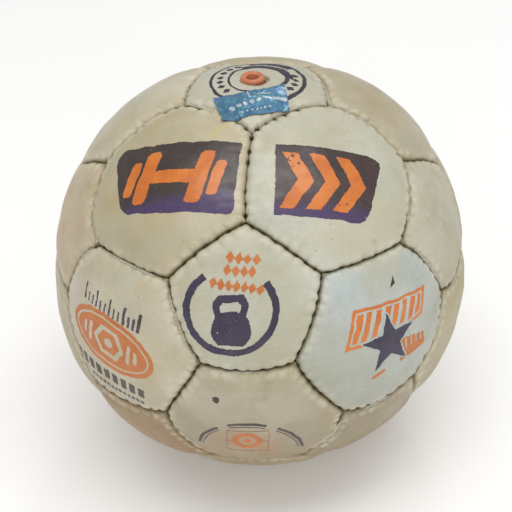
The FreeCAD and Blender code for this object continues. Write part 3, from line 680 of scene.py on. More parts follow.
def leather_material():
    g = Graph("aged_leather")
    seam, pull, sunk, dash = g.attr("seam_mm"), g.attr("pull"), g.attr("sunk_mm"), g.attr("dash")
    warm, yellow, blush, smudge = g.attr("warm"), g.attr("yellow"), g.attr("blush"), g.attr("smudge")
    base = g.mix(g.ramp(g.noise(38, 3, 0.5), 0.38, 0.64), srgb(207, 200, 176), srgb(197, 190, 161))
    base = g.mix(g.ramp(g.noise(15, 4, 0.6, (3.1, 0, 0)), 0.46, 0.72, 0, 0.55), base, srgb(184, 175, 143))
    base = g.mix(g.ramp(g.noise(62, 2, 0.5, (0, 4.2, 0)), 0.48, 0.68, 0, 0.5), base, srgb(190, 174, 134))
    base = g.mix(g.ramp(g.noise(24, 3, 0.55, (7, 4.2, 3)), 0.50, 0.68, 0, 0.45), base, srgb(186, 188, 166))
    base = g.mix(g.ramp(g.noise(1.7, 3, 0.6, (9, 1, 0)), 0.35, 0.75, 0, 0.14), base, srgb(160, 146, 112))
    # faint long scuffs and small dark specks
    scuff = g.ramp(g.noise(3.2, 3, 0.6, (0, 0, 7), 0.6, (0.25, 1.0, 1.6)), 0.64, 0.72, 0, 0.30)
    base = g.mix(scuff, base, srgb(220, 214, 192))
    speck = g.math("MULTIPLY", g.ramp(g.voronoi(5.5, offset=(2, 5, 1)), 0.035, 0.075, 1, 0), g.ramp(g.noise(21, 2, 0.5, (5, 5, 5)), 0.52, 0.62))
    base = g.mix(g.math("MULTIPLY", speck, 0.7), base, srgb(96, 82, 60))
    # the panel's own tone with painted shade and a painted sheen in it, the brown stain deepened low on the ball
    # partly as painted shade, and the few stray marks
    tint = g.node("ShaderNodeAttribute", attribute_name="tint").outputs["Color"]
    base = g.mix(1.0, base, tint, "MULTIPLY")
    base = g.mix(warm, base, srgb(146, 112, 72))
    base = g.mix(yellow, base, srgb(212, 192, 96))
    base = g.mix(blush, base, srgb(196, 132, 84))
    base = g.mix(smudge, base, srgb(104, 98, 74))
    # grime in the seams: a soft brown-green line, darkest in the stitch slots, broken near the valve; beside it a wide
    # band of painted shade, and paler shoulders that are partly a painted highlight
    soft_edge = g.math("ADD", seam, g.math("MULTIPLY", g.math("SUBTRACT", g.noise(3.4, 3, 0.6), 0.5), 1.5))
    # a soft darker band up to about 5 mm either side of each seam: painted shade
    seam_painted_shade = g.ramp(g.math("ADD", seam, g.math("MULTIPLY", g.math("SUBTRACT", g.noise(9, 3, 0.6, (1, 1, 1)), 0.5), 5.0)), 0.8, 5.0, 0.11, 0)
    base = g.mix(seam_painted_shade, base, srgb(158, 146, 104))
    line = g.ramp(soft_edge, 0.25, 1.45, 0.80, 0)
    # the rolled shoulders beside each seam turn paler, most between the stitches: partly worn leather, partly a
    # painted highlight where the shoulders face the light
    rub = g.math("MULTIPLY", g.math("MULTIPLY", g.ramp(soft_edge, 1.1, 2.2), g.ramp(soft_edge, 2.8, 6.2, 1, 0)), g.ramp(pull, 0.1, 0.9, 1, 0.35))
    rub = g.math("MULTIPLY", rub, g.ramp(g.noise(17, 3, 0.6, (6, 2, 5)), 0.40, 0.60, 0.10, 0.50))
    base = g.mix(rub, base, srgb(221, 216, 197))
    keep = g.math("SUBTRACT", 1.0, g.math("MULTIPLY", dash, g.ramp(pull, 0.25, 0.7, 0.75, 0.0)))
    base = g.mix(g.math("MULTIPLY", line, keep), base, srgb(126, 117, 80))
    deep = g.ramp(sunk, 3.6, 5.0, 0, 0.9)
    base = g.mix(g.math("MULTIPLY", deep, keep), base, srgb(98, 88, 56))
    slot_dirt = g.math("MULTIPLY", g.ramp(pull, 0.35, 0.9), g.ramp(seam, 0.3, 1.5, 0.75, 0))
    base = g.mix(g.math("MULTIPLY", slot_dirt, g.ramp(dash, 0, 1, 0.6, 1.0)), base, srgb(70, 62, 36))
    rough = g.ramp(g.noise(11, 4, 0.6, (0, 8, 0)), 0.3, 0.7, 0.38, 0.54)
    rough = g.math("ADD", rough, g.math("MULTIPLY", line, 0.3), True)
    grain = g.voronoi(0.95, "SMOOTH_F1")
    n1 = g.bump(grain, 0.05, 0.55)
    n2 = g.bump(g.noise(0.5, 2, 0.6), 0.03, 0.5, n1)
    n3 = g.bump(g.noise(4.2, 4, 0.62, (0, 2, 9), 0.8), 0.16, 0.5, n2)
    crease = g.ramp(g.voronoi(7.5, "DISTANCE_TO_EDGE", (4, 4, 4)), 0.0, 0.05, 0, 1)
    n4 = g.bump(crease, 0.05, 0.30, n3)
    return g.set(Base=base, Rough=rough, Spec=0.42, Coat=0.10, CoatRough=0.28, Normal=n4)


LEATHER = leather_material()

# each panel's flat drawing frame: x to the right as seen from the front, y up, in mm along the surface
PRINT_X = np.array([0.99809, 0.04878, -0.03788])


def drawing_axes(c):
    x = unit(PRINT_X - c * (PRINT_X @ c))
    return x, np.cross(c, x)


def local_of(pan, d):
    x, y = drawing_axes(pan.c)
    ang = np.arccos(np.clip(d @ pan.c, -1, 1))
    t = d - np.outer(d @ pan.c, pan.c)
    t /= np.linalg.norm(t, axis=1)[:, None] + 1e-12
    return (t @ x) * ang * R, (t @ y) * ang * R


def from_local(pan, px, py):
    x, y = drawing_axes(pan.c)
    rho = np.hypot(px, py)
    ang = rho / R
    s = np.where(rho > 1e-9, np.sin(ang) / np.maximum(rho, 1e-9), 0.0)
    return unbow(unit(np.cos(ang)[:, None] * pan.c[None] + (px * s)[:, None] * x[None] + (py * s)[:, None] * y[None]))


# each panel's tint over the common leather, and how much brown stain it carries
PLAIN = np.array(srgb(200, 191, 162))
TINT = {
    "valve_panel": ((198, 194, 173), 0.02), "pentagon_panel_01": ((198, 194, 172), 0.02), HEX_OF[(0, 1, 2)]: ((198, 194, 172), 0.00),
    HEX_OF[(0, 1, 5)]: ((197, 186, 156), 0.04), HEX_OF[(1, 5, 10)]: ((210, 202, 178), 0.10), HEX_OF[(1, 2, 6)]: ((189, 191, 178), 0.02),
    HEX_OF[(1, 6, 10)]: ((194, 185, 160), 0.08), "pentagon_panel_05": ((206, 191, 160), 0.10), "pentagon_panel_02": ((196, 191, 168), 0.03),
    HEX_OF[(0, 4, 5)]: ((205, 196, 170), 0.05), "pentagon_panel_10": ((184, 166, 132), 0.30), "pentagon_panel_06": ((184, 178, 152), 0.10),
}
rng_panels = np.random.default_rng(5)
for pan in PAN:
    g0 = rng_panels.uniform(-7, 4, 3)
    w0 = 0.04 + 0.10 * rng_panels.random()
    TINT.setdefault(pan.name, (tuple(np.array((198, 189, 160)) + g0[0] + np.array((0.3, 0.2, 1.0)) * g0[1]), w0))


def finish_piece(ob, material, body=BALL, nodes=()):
    ob.data.materials.clear()
    ob.data.materials.append(material)
    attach(ob, body)
    if nodes:
        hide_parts(*nodes)
    return ob


def blots(pan, co, spots):
    """Soft marks on one panel: (x, y, half length, half width, turn, strength) in its drawing frame."""
    px, py = local_of(pan, unit(co))
    out = np.zeros(len(co))
    for cx, cy, la, lb, turn, w in spots:
        t = math.radians(turn)
        a = ((px - cx) * math.cos(t) + (py - cy) * math.sin(t)) / la
        b = (-(px - cx) * math.sin(t) + (py - cy) * math.cos(t)) / lb
        out += w * np.exp(-(a * a + b * b)) * (0.8 + 0.2 * wave(co, F_WEAR))
    return np.clip(out, 0, 0.85)


YELLOW_AT = {HEX_OF[(0, 1, 5)]: [(26.4, 23.2, 5.4, 1.0, 40.0, 0.5), (29.0, 25.4, 2.4, 1.4, 40.0, 0.35), (22.8, 19.9, 2.4, 1.2, 60.0, 0.42)]}
BLUSH_AT = {HEX_OF[(1, 6, 10)]: [(-3.0, -9.5, 13.0, 9.0, 0.0, 0.50), (9.5, -18.0, 6.0, 5.0, 0.0, 0.42), (-22.0, -27.0, 9.0, 5.0, 0.0, 0.25)],
            "pentagon_panel_05": [(-12.0, -4.0, 16.0, 18.0, 0.0, 0.30)], "pentagon_panel_10": [(6.0, 4.0, 16.0, 12.0, 0.0, 0.30)]}
SMUDGE_AT = {HEX_OF[(1, 6, 10)]: [(6.6, 34.0, 2.6, 1.8, 0.0, 0.30), (6.8, 29.0, 2.0, 1.6, 0.0, 0.30), (6.4, 24.2, 2.4, 1.4, 90.0, 0.28), (2.0, 16.0, 9.0, 5.0, 20.0, 0.07)],
             "pentagon_panel_01": [(7.1, 26.2, 2.4, 1.6, 0.0, 0.22), (11.4, 24.7, 2.4, 1.4, -10.0, 0.26), (9.0, -12.0, 7.0, 6.0, 0.0, 0.07), (0.0, -24.0, 14.0, 6.0, 0.0, 0.08)],
             HEX_OF[(0, 1, 2)]: [(22.0, -27.0, 2.4, 1.8, 0.0, 0.24), (-14.0, 30.0, 5.0, 3.0, 10.0, 0.06)],
             HEX_OF[(0, 1, 5)]: [(-17.0, -28.0, 5.0, 3.0, 0.0, 0.10), (24.0, -30.0, 6.0, 4.0, 30.0, 0.10)]}
SHEEN_AT = np.array([0.494, -0.681, 0.541])                          # the middle of a painted sheen: a paler, cooler patch on the front
for pan in PAN:
    ob = build_panel(pan, hole=pan.name == "valve_panel")
    tone, warm = TINT[pan.name]
    co = np.empty(len(ob.data.vertices) * 3, np.float32)
    ob.data.vertices.foreach_get("co", co)
    co = co.reshape(-1, 3) * 1000.0
    # low: darker and browner towards the bottom of the ball, partly painted shade and partly brown stain
    low = np.clip(-co[:, 2] / R / 0.5, 0, 1)
    # side: painted shade towards the right-hand edge of the ball, on +X
    side = np.clip((co[:, 0] / R - 0.74) / 0.26, 0, 1)
    # a painted sheen: paler and cooler leather about one point on the front of the ball
    painted_sheen = np.exp(-((unit(co) - SHEEN_AT) ** 2).sum(1) / (2 * 0.24 ** 2))
    left = np.clip((-co[:, 0] / R - 0.55) / 0.45, 0, 1) * np.clip(0.5 - co[:, 1] / R, 0, 1)
    patch = np.clip(0.5 + 0.35 * wave(co, F_WEAR3) + 0.15 * wave(co, F_WEAR2), 0, 1)
    tint = ob.data.attributes.new("tint", "FLOAT_COLOR", "POINT")
    rgb = (np.array(srgb(*tone)) / PLAIN)[None] * (1 - np.outer(low, (0.34, 0.42, 0.52))) * (1 - np.outer(side, (0.20, 0.25, 0.38))) * (1 + np.outer(painted_sheen, (0.14, 0.17, 0.26)))
    tint.data.foreach_set("color", np.concatenate([rgb, np.ones((len(co), 1))], 1).astype(np.float32).ravel())
    # the panel's brown stain, with more of it low on the ball (partly painted shade) and on the left
    add_float(ob, "warm", np.clip(warm * (0.5 + patch) + 0.22 * low * (0.4 + 0.6 * patch) + 0.20 * left, 0, 0.75))
    add_float(ob, "yellow", blots(pan, co, YELLOW_AT.get(pan.name, ())))
    add_float(ob, "blush", blots(pan, co, BLUSH_AT.get(pan.name, ())))
    add_float(ob, "smudge", blots(pan, co, SMUDGE_AT.get(pan.name, ())))
    finish_piece(ob, LEATHER, BALL, (pan.name,))

# ---------------------------------------------------------------- printing
def sd_poly(x, y, pts):
    """Signed distance to a closed polygon, negative inside."""
    pts = np.asarray(pts, float)
    best = np.full(x.shape, 1e9)
    sign = np.ones(x.shape)
    n = len(pts)
    for i in range(n):
        ax, ay = pts[i]
        bx, by = pts[i - 1]
        ex, ey = bx - ax, by - ay
        wx, wy = x - ax, y - ay
        t = np.clip((wx * ex + wy * ey) / (ex * ex + ey * ey), 0, 1)
        best = np.minimum(best, (wx - ex * t) ** 2 + (wy - ey * t) ** 2)
        c1, c2, c3 = y >= ay, y < by, ex * wy > ey * wx
        flip = (c1 & c2 & c3) | (~c1 & ~c2 & ~c3)
        sign = np.where(flip, -sign, sign)
    return sign * np.sqrt(best)


def sd_seg(x, y, a, b):
    ex, ey = b[0] - a[0], b[1] - a[1]
    t = np.clip(((x - a[0]) * ex + (y - a[1]) * ey) / (ex * ex + ey * ey), 0, 1)
    return np.hypot(x - a[0] - ex * t, y - a[1] - ey * t)


def sd_taper(x, y, a, b, ra, rb):
    """A stroke from a to b whose half width runs from ra to rb."""
    ex, ey = b[0] - a[0], b[1] - a[1]
    t = np.clip(((x - a[0]) * ex + (y - a[1]) * ey) / (ex * ex + ey * ey), 0, 1)
    return np.hypot(x - a[0] - ex * t, y - a[1] - ey * t) - (ra + (rb - ra) * t)


def turned(x, y, cx, cy, deg):
    t = math.radians(deg)
    return (x - cx) * math.cos(t) + (y - cy) * math.sin(t), -(x - cx) * math.sin(t) + (y - cy) * math.cos(t)


def sd_box(x, y, cx, cy, w, h, deg=0.0, skew=0.0, r=0.25):
    """A w by h block about (cx, cy), turned by deg and leaning by skew, with corners of radius r."""
    u, v = turned(x, y, cx, cy, deg)
    u = u - v * skew
    qx, qy = np.abs(u) - w / 2 + r, np.abs(v) - h / 2 + r
    return np.hypot(np.maximum(qx, 0), np.maximum(qy, 0)) + np.minimum(np.maximum(qx, qy), 0) - r


def sd_ellipse(x, y, cx, cy, a, b, deg=0.0):
    u, v = turned(x, y, cx, cy, deg)
    k = np.hypot(u / a, v / b)
    return (k - 1) * k / (np.hypot(u / a ** 2, v / b ** 2) + 1e-9)


def either(*f):
    out = f[0]
    for g in f[1:]:
        out = np.minimum(out, g)
    return out


def leather_point(pan, d, lift):
    m, xs, pull, _ = pan.near(d)
    return place(d, R - surface_drop(pan, d, m, xs, pull) + lift)


def film(name, pan, shape, box, h=0.35, level=1, wear=2.35, rough=0.10, material=None, extra_wear=None):
    """A printed film of ink on a panel. shape(x, y) is negative where there is ink. It is a thin
    closed solid that follows the leather, with a ragged edge and bare specks where it has flaked."""
    x0, y0, x1, y1 = box
    gx = np.arange(x0 - 2 * h, x1 + 3 * h, h)
    gy = np.arange(y0 - 2 * h, y1 + 3 * h, h)
    X, Y = np.meshgrid(gx, gy)
    d = from_local(pan, X.ravel(), Y.ravel())
    p = d * R
    F = shape(X, Y) + (rough * wave(p, F_RAG)).reshape(X.shape)
    bare = (0.55 * wave(p, F_WEAR) + 0.45 * wave(p, F_FLAKE) + 0.35 * wave(p, F_WEAR2)).reshape(X.shape)
    limit = np.full(X.shape, wear)
    if extra_wear is not None:
        limit = limit - extra_wear(X, Y)
    F = np.maximum(F, (bare - limit) * 0.6)
    F = np.maximum(F, (1.5 + 0.25 * wave(p, F_RAG) - pan.near(d)[0]).reshape(X.shape))
    F[0, :] = F[-1, :] = F[:, 0] = F[:, -1] = np.maximum(F.max(), 1.0)
    F = np.where(np.abs(F) < 1e-6, 1e-6, F)
    inside = F < 0
    ny, nx = F.shape
    ids = -np.ones(F.shape, int)
    ids[inside] = np.arange(inside.sum())
    pts = [np.stack([X[inside], Y[inside]], 1)]
    count = int(inside.sum())

    def crossings(F0, F1, X0, Y0, X1, Y1):
        t = np.clip(F0 / (F0 - F1), 0.1, 0.9)
        return np.stack([X0 + (X1 - X0) * t, Y0 + (Y1 - Y0) * t], 1)

    hx = -np.ones(F.shape, int)
    sel = inside[:, :-1] != inside[:, 1:]
    jj, ii = np.nonzero(sel)
    hx[jj, ii] = count + np.arange(len(jj))
    pts.append(crossings(F[jj, ii], F[jj, ii + 1], X[jj, ii], Y[jj, ii], X[jj, ii + 1], Y[jj, ii + 1]))
    count += len(jj)
    vy = -np.ones(F.shape, int)
    sel = inside[:-1, :] != inside[1:, :]
    jj, ii = np.nonzero(sel)
    vy[jj, ii] = count + np.arange(len(jj))
    pts.append(crossings(F[jj, ii], F[jj + 1, ii], X[jj, ii], Y[jj, ii], X[jj + 1, ii], Y[jj + 1, ii]))
    count += len(jj)
    pts = np.concatenate(pts)
    a, b, c, e = inside[:-1, :-1], inside[:-1, 1:], inside[1:, 1:], inside[1:, :-1]
    n_in = a.astype(int) + b + c + e
    jf, i_f = np.nonzero(n_in == 4)
    faces = np.stack([ids[jf, i_f], ids[jf, i_f + 1], ids[jf + 1, i_f + 1], ids[jf + 1, i_f]], 1).tolist()
    rim = []
    for j, i in zip(*np.nonzero((n_in > 0) & (n_in < 4))):
        cs = [(j, i), (j, i + 1), (j + 1, i + 1), (j + 1, i)]
        es = [hx[j, i], vy[j, i + 1], hx[j + 1, i], vy[j, i]]
        poly, kinds = [], []
        for k in range(4):
            if inside[cs[k]]:
                poly.append(int(ids[cs[k]]))
                kinds.append(0)
            if inside[cs[k]] != inside[cs[(k + 1) % 4]]:
                poly.append(int(es[k]))
                kinds.append(1 if inside[cs[k]] else 2)              # 1 leaves the ink, 2 enters it
        faces.append(poly)
        for k in range(len(poly)):
            if kinds[k] == 1 and kinds[(k + 1) % len(poly)] == 2:
                rim.append((poly[k], poly[(k + 1) % len(poly)]))
    n = len(pts)
    d = from_local(pan, pts[:, 0], pts[:, 1])
    top = leather_point(pan, d, 0.03 + 0.035 * level)
    low = leather_point(pan, d, 0.03 + 0.035 * level - 0.10)
    all_faces = faces + [[v + n for v in f[::-1]] for f in faces] + [(b_, a_, a_ + n, b_ + n) for a_, b_ in rim]
    ob = new_object(name, np.concatenate([top, low]), all_faces)
    ob.data.set_sharp_from_angle(angle=math.radians(40))
    add_float(ob, "fx", np.tile(pts[:, 0], 2))
    add_float(ob, "fy", np.tile(pts[:, 1], 2))
    return finish_piece(ob, material)


F_RAG = field(41, 1.3, 48)
F_FLAKE = field(42, 1.15, 60)


def ink(name, a, b, c, rough=(0.35, 0.50), coat=0.10, fade=None):
    """Screen-printing ink: two close tones, a third where it has rubbed thin, and fine pinholes."""
    g = Graph(name)
    base = g.mix(g.ramp(g.noise(9, 4, 0.6), 0.38, 0.62), a, b)
    rub = g.ramp(g.noise(2.1, 4, 0.65, (3, 3, 3), 0.4), 0.60, 0.74, 0, 0.55)
    base = g.mix(rub, base, c)
    if fade is not None:
        base = fade(g, base)
    pin = g.ramp(g.voronoi(1.25, offset=(1, 2, 3)), 0.10, 0.17, 0.5, 0)
    base = g.mix(g.math("MULTIPLY", pin, g.ramp(g.noise(7, 2, 0.5, (8, 8, 8)), 0.5, 0.62)), base, srgb(196, 186, 152))
    r = g.ramp(g.noise(3.5, 4, 0.65), 0.35, 0.7, rough[0], rough[1])
    n1 = g.bump(g.voronoi(0.95, "SMOOTH_F1"), 0.05, 0.5)
    n2 = g.bump(g.noise(4.2, 4, 0.62, (0, 2, 9), 0.8), 0.16, 0.45, n1)
    n3 = g.bump(g.noise(0.8, 3, 0.7), 0.03, 0.6, n2)
    return g.set(Base=base, Rough=r, Spec=0.5, Coat=coat, CoatRough=0.18, Normal=n3)


def violet_edges(lo, hi, axis="fy", amount=0.85):
    def fade(g, base):
        w = g.ramp(g.math("ADD", g.attr(axis), g.math("MULTIPLY", g.math("SUBTRACT", g.noise(8, 3), 0.5), 5.0)), lo, hi, amount, 0.0)
        return g.mix(w, base, srgb(80, 62, 106))
    return fade


DARK_L = ink("plaque_ink_left", srgb(72, 60, 56), srgb(64, 55, 54), srgb(84, 74, 78), fade=violet_edges(-13, -5))
DARK_R = ink("plaque_ink_right", srgb(76, 60, 58), srgb(66, 54, 56), srgb(88, 76, 86), fade=violet_edges(-17, -9))
VIOLET = ink("violet_ink", srgb(56, 50, 72), srgb(66, 58, 80), srgb(98, 88, 104), rough=(0.42, 0.6), coat=0.08)
ORANGE = ink("orange_ink", srgb(222, 128, 52), srgb(210, 114, 46), srgb(216, 148, 92), rough=(0.34, 0.5), coat=0.18)
ORANGE_WORN = ink("orange_ink_worn", srgb(206, 126, 66), srgb(198, 114, 56), srgb(206, 160, 116), rough=(0.45, 0.62), coat=0.05)
VIOLET_WORN = ink("violet_ink_worn", srgb(70, 62, 78), srgb(88, 80, 88), srgb(120, 110, 110), rough=(0.45, 0.62), coat=0.05)
VIOLET_DARK = ink("violet_ink_dark", srgb(48, 44, 56), srgb(60, 54, 66), srgb(106, 98, 104), rough=(0.42, 0.6), coat=0.08)
GREY_INK = ink("grey_ink", srgb(78, 70, 66), srgb(94, 84, 76), srgb(132, 120, 102), rough=(0.48, 0.64), coat=0.04)
GREY_FAINT = ink("grey_ink_faint", srgb(140, 112, 84), srgb(150, 122, 92), srgb(164, 144, 112), rough=(0.5, 0.66), coat=0.02)
DARK_SPOT = ink("dark_spot", srgb(62, 54, 46), srgb(74, 64, 54), srgb(96, 84, 68), rough=(0.5, 0.66), coat=0.02)

pan_l, pan_r = PAN[INDEX[HEX_OF[(0, 1, 5)]]], PAN[INDEX[HEX_OF[(0, 1, 2)]]]
pan_f = PAN[INDEX["pentagon_panel_01"]]
pan_o, pan_s, pan_b = PAN[INDEX[HEX_OF[(1, 5, 10)]]], PAN[INDEX[HEX_OF[(1, 2, 6)]]], PAN[INDEX[HEX_OF[(1, 6, 10)]]]
pan_v = PAN[INDEX["valve_panel"]]

# left plaque with a plain dumbbell sign
PLAQUE_L = [(-27.6, 16.0), (-27.3, 18.9), (-26.4, 21.3), (-24.6, 22.8), (-22.0, 22.7), (-4.5, 19.3), (36.0, 14.5), (36.3, 13.2), (33.4, -18.0), (32.8, -19.4),
            (31.2, -19.8), (-14.5, -13.2), (-17.7, -12.5), (-20.4, -10.6), (-22.4, -6.9), (-24.0, -1.5)]


def plaque_l(x, y):
    return sd_poly(x, y, PLAQUE_L)


def dumbbell(x, y):
    tilt, cx, cy = -8.5, 4.6, 1.2
    return either(
        sd_box(x, y, cx, cy, 22.0, 6.2, tilt, 0.0, 1.0),
        *[sd_box(x, y, cx + s * 13.4 * math.cos(math.radians(tilt)), cy + s * 13.4 * math.sin(math.radians(tilt)), 7.2, 25.0, tilt, 0.16, 2.2) for s in (-1, 1)],
        *[sd_box(x, y, cx + s * 21.3 * math.cos(math.radians(tilt)), cy + s * 21.3 * math.sin(math.radians(tilt)), 5.4, 16.5, tilt, 0.16, 1.8) for s in (-1, 1)],
    )


def worn_at(*spots):
    def f(x, y):
        out = np.zeros(x.shape)
        for cx, cy, r, w in spots:
            out = out + w * np.exp(-((x - cx) ** 2 + (y - cy) ** 2) / r ** 2)
        return out
    return f


film("print_plaque_left", pan_l, plaque_l, (-29, -21, 38, 24), 0.42, 1, 2.6, material=DARK_L, extra_wear=worn_at((30, 12, 3.0, 1.2), (33, -17, 2.5, 1.0), (10, 16.5, 2.0, 0.9)))
film("print_dumbbell", pan_l, dumbbell, (-24, -20, 33, 22), 0.36, 2, 2.3, material=ORANGE, extra_wear=worn_at((28, 9, 5.0, 1.3), (24, -6, 4.0, 0.6), (10, 4, 4.0, 0.4)))

# right plaque with three plain chevrons
PLAQUE_R = [(-27.7, 15.3), (15.2, 15.2), (19.6, 14.5), (22.2, 12.6), (22.6, 10.4), (21.3, 4.5), (17.3, -14.4), (16.0, -17.7), (13.6, -19.3), (9.7, -19.7), (-27.5, -19.0)]


def plaque_r(x, y):
    return sd_poly(x, y, PLAQUE_R)


def chevrons(x, y):
    out = None
    for cx in (-19.5, -7.0, 5.5):
        f = sd_poly(x, y, [(cx - 5.2, 11.2), (cx + 1.8, 11.2), (cx + 9.4, -2.2), (cx + 1.0, -15.6), (cx - 6.0, -15.6), (cx + 2.2, -2.2)])
        out = f if out is None else np.minimum(out, f)
    return out


film("print_plaque_right", pan_r, plaque_r, (-29, -21, 24, 17), 0.42, 1, 2.5, material=DARK_R, extra_wear=worn_at((-26, 10, 2.5, 0.9), (16, -16, 3.0, 0.8)))
film("print_chevrons", pan_r, chevrons, (-27, -17, 16, 13), 0.36, 2, 2.15, material=ORANGE, extra_wear=worn_at((-21, 7, 5.0, 1.2), (6, -12, 5.0, 0.6), (12, -2, 3.0, 0.5)))


def icon(x, y, cx, cy, w, h, deg, kind):
    """One small solid sign, w by h, turned by deg: 0 block, 1 diamond, 2 disc, 3 and 4 triangles."""
    u, v = turned(x, y, cx, cy, deg)
    if kind == 0:
        return sd_box(u, v, 0, 0, w, h, r=0.3)
    if kind == 1:
        return (np.abs(u) / (w * 0.56) + np.abs(v) / (h / 2) - 1) * (w * h / 4) / math.hypot(w / 2, h / 2)
    if kind == 2:
        return sd_ellipse(u, v, 0, 0, w / 2, h / 2)
    top = h / 2 if kind == 3 else -h / 2
    return sd_poly(u, v, [(-w * 0.54, -top), (w * 0.54, -top), (0.0, top)][::1 if kind == 3 else -1])


def icons(x, y, a, b, kinds, height, gap=0.8, fill=None):
    """A line of small plain signs from a to b, in place of a line of print."""
    length = math.hypot(b[0] - a[0], b[1] - a[1])
    deg = math.degrees(math.atan2(b[1] - a[1], b[0] - a[0]))
    w = (length - gap * (len(kinds) - 1)) / len(kinds)
    out = None
    for k, kind in enumerate(kinds):
        if kind is None:
            continue
        m = (k * (w + gap) + w / 2) / length
        f = icon(x, y, a[0] + (b[0] - a[0]) * m, a[1] + (b[1] - a[1]) * m, w, height, deg, kind)
        out = f if out is None else np.minimum(out, f)
    return out


def ticks(x, y, a, b, heights, thick, lean=0.0):
    """Upright strokes along the line from a to b, all standing on it, as on a ruler."""
    deg = math.atan2(b[1] - a[1], b[0] - a[0])
    up = np.array([-math.sin(deg + lean), math.cos(deg + lean)])
    out = None
    for k, (h, th) in enumerate(zip(heights, thick)):
        t = k / (len(heights) - 1)
        p0 = np.array([a[0] + (b[0] - a[0]) * t, a[1] + (b[1] - a[1]) * t])
        f = sd_seg(x, y, p0, p0 + up * h) - th
        out = f if out is None else np.minimum(out, f)
    return out


# front pentagon: an open ring with a kettlebell in it, and three lines of small signs
def roundel(x, y):
    cx, cy = -6.4, -3.4
    u, v = x - cx, y - cy
    ring = np.abs(np.hypot(u, v) - 20.6) - 1.75
    gap_half = math.radians(43)
    a = np.abs(np.arctan2(v, u) - math.radians(83))
    ring = np.maximum(ring, (gap_half - a) * 20.6)
    body = np.maximum(np.hypot(u, v + 9.2) - 9.4, -v - 16.8)
    u, v = u / 1.22, (v - 2.6) / 1.22
    outer = sd_poly(u, v, [(-4.6, -7.0), (-6.2, 1.0), (-4.4, 3.6), (4.4, 3.6), (6.2, 1.0), (4.6, -7.0)]) - 0.7
    inner = sd_poly(u, v, [(-2.8, -3.4), (-3.7, 0.0), (-2.8, 1.3), (2.8, 1.3), (3.7, 0.0), (2.8, -3.4)]) - 0.3
    return either(ring, body, np.maximum(outer, -inner) * 1.22)


def front_rows(x, y):
    return either(
        icons(x, y, (-8.6, 22.3), (6.9, 20.4), (1,) * 4, 5.6, 0.4),
        icons(x, y, (-9.8, 16.3), (5.2, 14.6), (1,) * 4, 5.6, 0.4),
        icons(x, y, (-16.2, 10.4), (8.7, 6.4), (1,) * 7, 6.0, 0.3),
    )


film("print_roundel", pan_f, roundel, (-30, -27, 17, 20), 0.34, 1, 2.45, material=VIOLET)
film("print_front_rows", pan_f, front_rows, (-20, 1, 11, 27), 0.28, 1, 2.5, 0.08, material=ORANGE_WORN)


# left hexagon: an orange oval with a pale six-sided sign cut out of it, ruler strokes and a row of signs
def hex_ring(x, y, cx, cy, r, w, deg):
    u, v = turned(x, y, cx, cy, deg)
    k = np.array([[math.cos(math.radians(a)), math.sin(math.radians(a))] for a in (30, 90, 150)])
    return np.abs(np.max([np.abs(u * c[0] + v * c[1]) for c in k], axis=0) - r) - w


def oval(x, y):
    e = sd_ellipse(x, y, -4.6, -5.2, 26.4, 15.4, -12.0)
    u, v = turned(x, y, -4.6, -5.2, -12.0)
    signs = either(hex_ring(x, y, -4.6, -5.2, 7.2, 1.2, -12.0), np.hypot(u, v) - 2.6,
                   *[sd_seg(u, v, (k * 12.2, -4.6), (k * 12.2, 4.6)) - 1.1 for k in (-1, 1)], *[sd_seg(u, v, (k * 16.2, -2.6), (k * 16.2, 2.6)) - 1.0 for k in (-1, 1)])
    groove = np.abs(e + 3.1) - 0.62
    return np.maximum(np.maximum(e, -signs), -groove)


def ruler(x, y):
    tall, low = 8.4, 4.6
    h = (tall, low, low, tall, low, low, tall, low, low, tall, low, low, tall)
    t = (0.55, 0.42, 0.42, 0.5, 0.42, 0.42, 0.5, 0.42, 0.45, 0.75, 0.7, 0.8, 0.85)
    return ticks(x, y, (-20.2, 13.4), (14.6, 7.4), h, t)


def grey_row(x, y):
    return icons(x, y, (-33.5, -21.8), (11.0, -30.2), (0,) * 9, 6.2, 1.9)


def grey_small_row(x, y):
    return icons(x, y, (-24.0, -31.0), (8.0, -37.4), (2,) * 13, 2.3, 0.6)


film("print_oval", pan_o, oval, (-33, -24, 24, 13), 0.34, 1, 2.0, material=ORANGE_WORN)
film("print_ruler", pan_o, ruler, (-23, 5, 18, 24), 0.26, 1, 2.2, material=VIOLET_WORN)
film("print_grey_row", pan_o, grey_row, (-36, -36, 14, -16), 0.30, 1, 3.0, 0.07, material=GREY_INK)
film("print_grey_small_row", pan_o, grey_small_row, (-26, -40, 11, -28), 0.26, 1, 3.0, 0.04, material=GREY_INK)


# right hexagon: an outlined slanted band with bars, a plain five-pointed star over it and a block
BAND = [(-22.0, -4.8), (-17.6, 15.6), (25.3, 18.2), (23.0, 3.6)]


def star(x, y, grow=0.0):
    pts = []
    for k in range(10):
        r = (15.6 if k % 2 == 0 else 6.3) + grow
        a = math.radians(90 + 9 + 36 * k)
        pts.append((2.0 + r * math.cos(a), -4.4 + r * math.sin(a)))
    return sd_poly(x, y, pts)


def band(x, y):
    f = sd_poly(x, y, BAND)
    edge = np.abs(f + 0.85) - 0.8
    solid = f + 2.6
    slits = None
    for k in range(7):
        t = 0.13 + 0.125 * k
        a, b = (-20.6 + 42.0 * t, -1.8 + 7.2 * t), (-16.6 + 40.6 * t, 12.2 + 2.4 * t)
        g = sd_seg(x, y, a, b) - (1.15 if k % 3 else 0.8)
        slits = g if slits is None else np.minimum(slits, g)
    return np.maximum(either(edge, np.maximum(solid, -slits)), 0.9 - star(x, y))


def star_sign(x, y):
    return star(x, y)


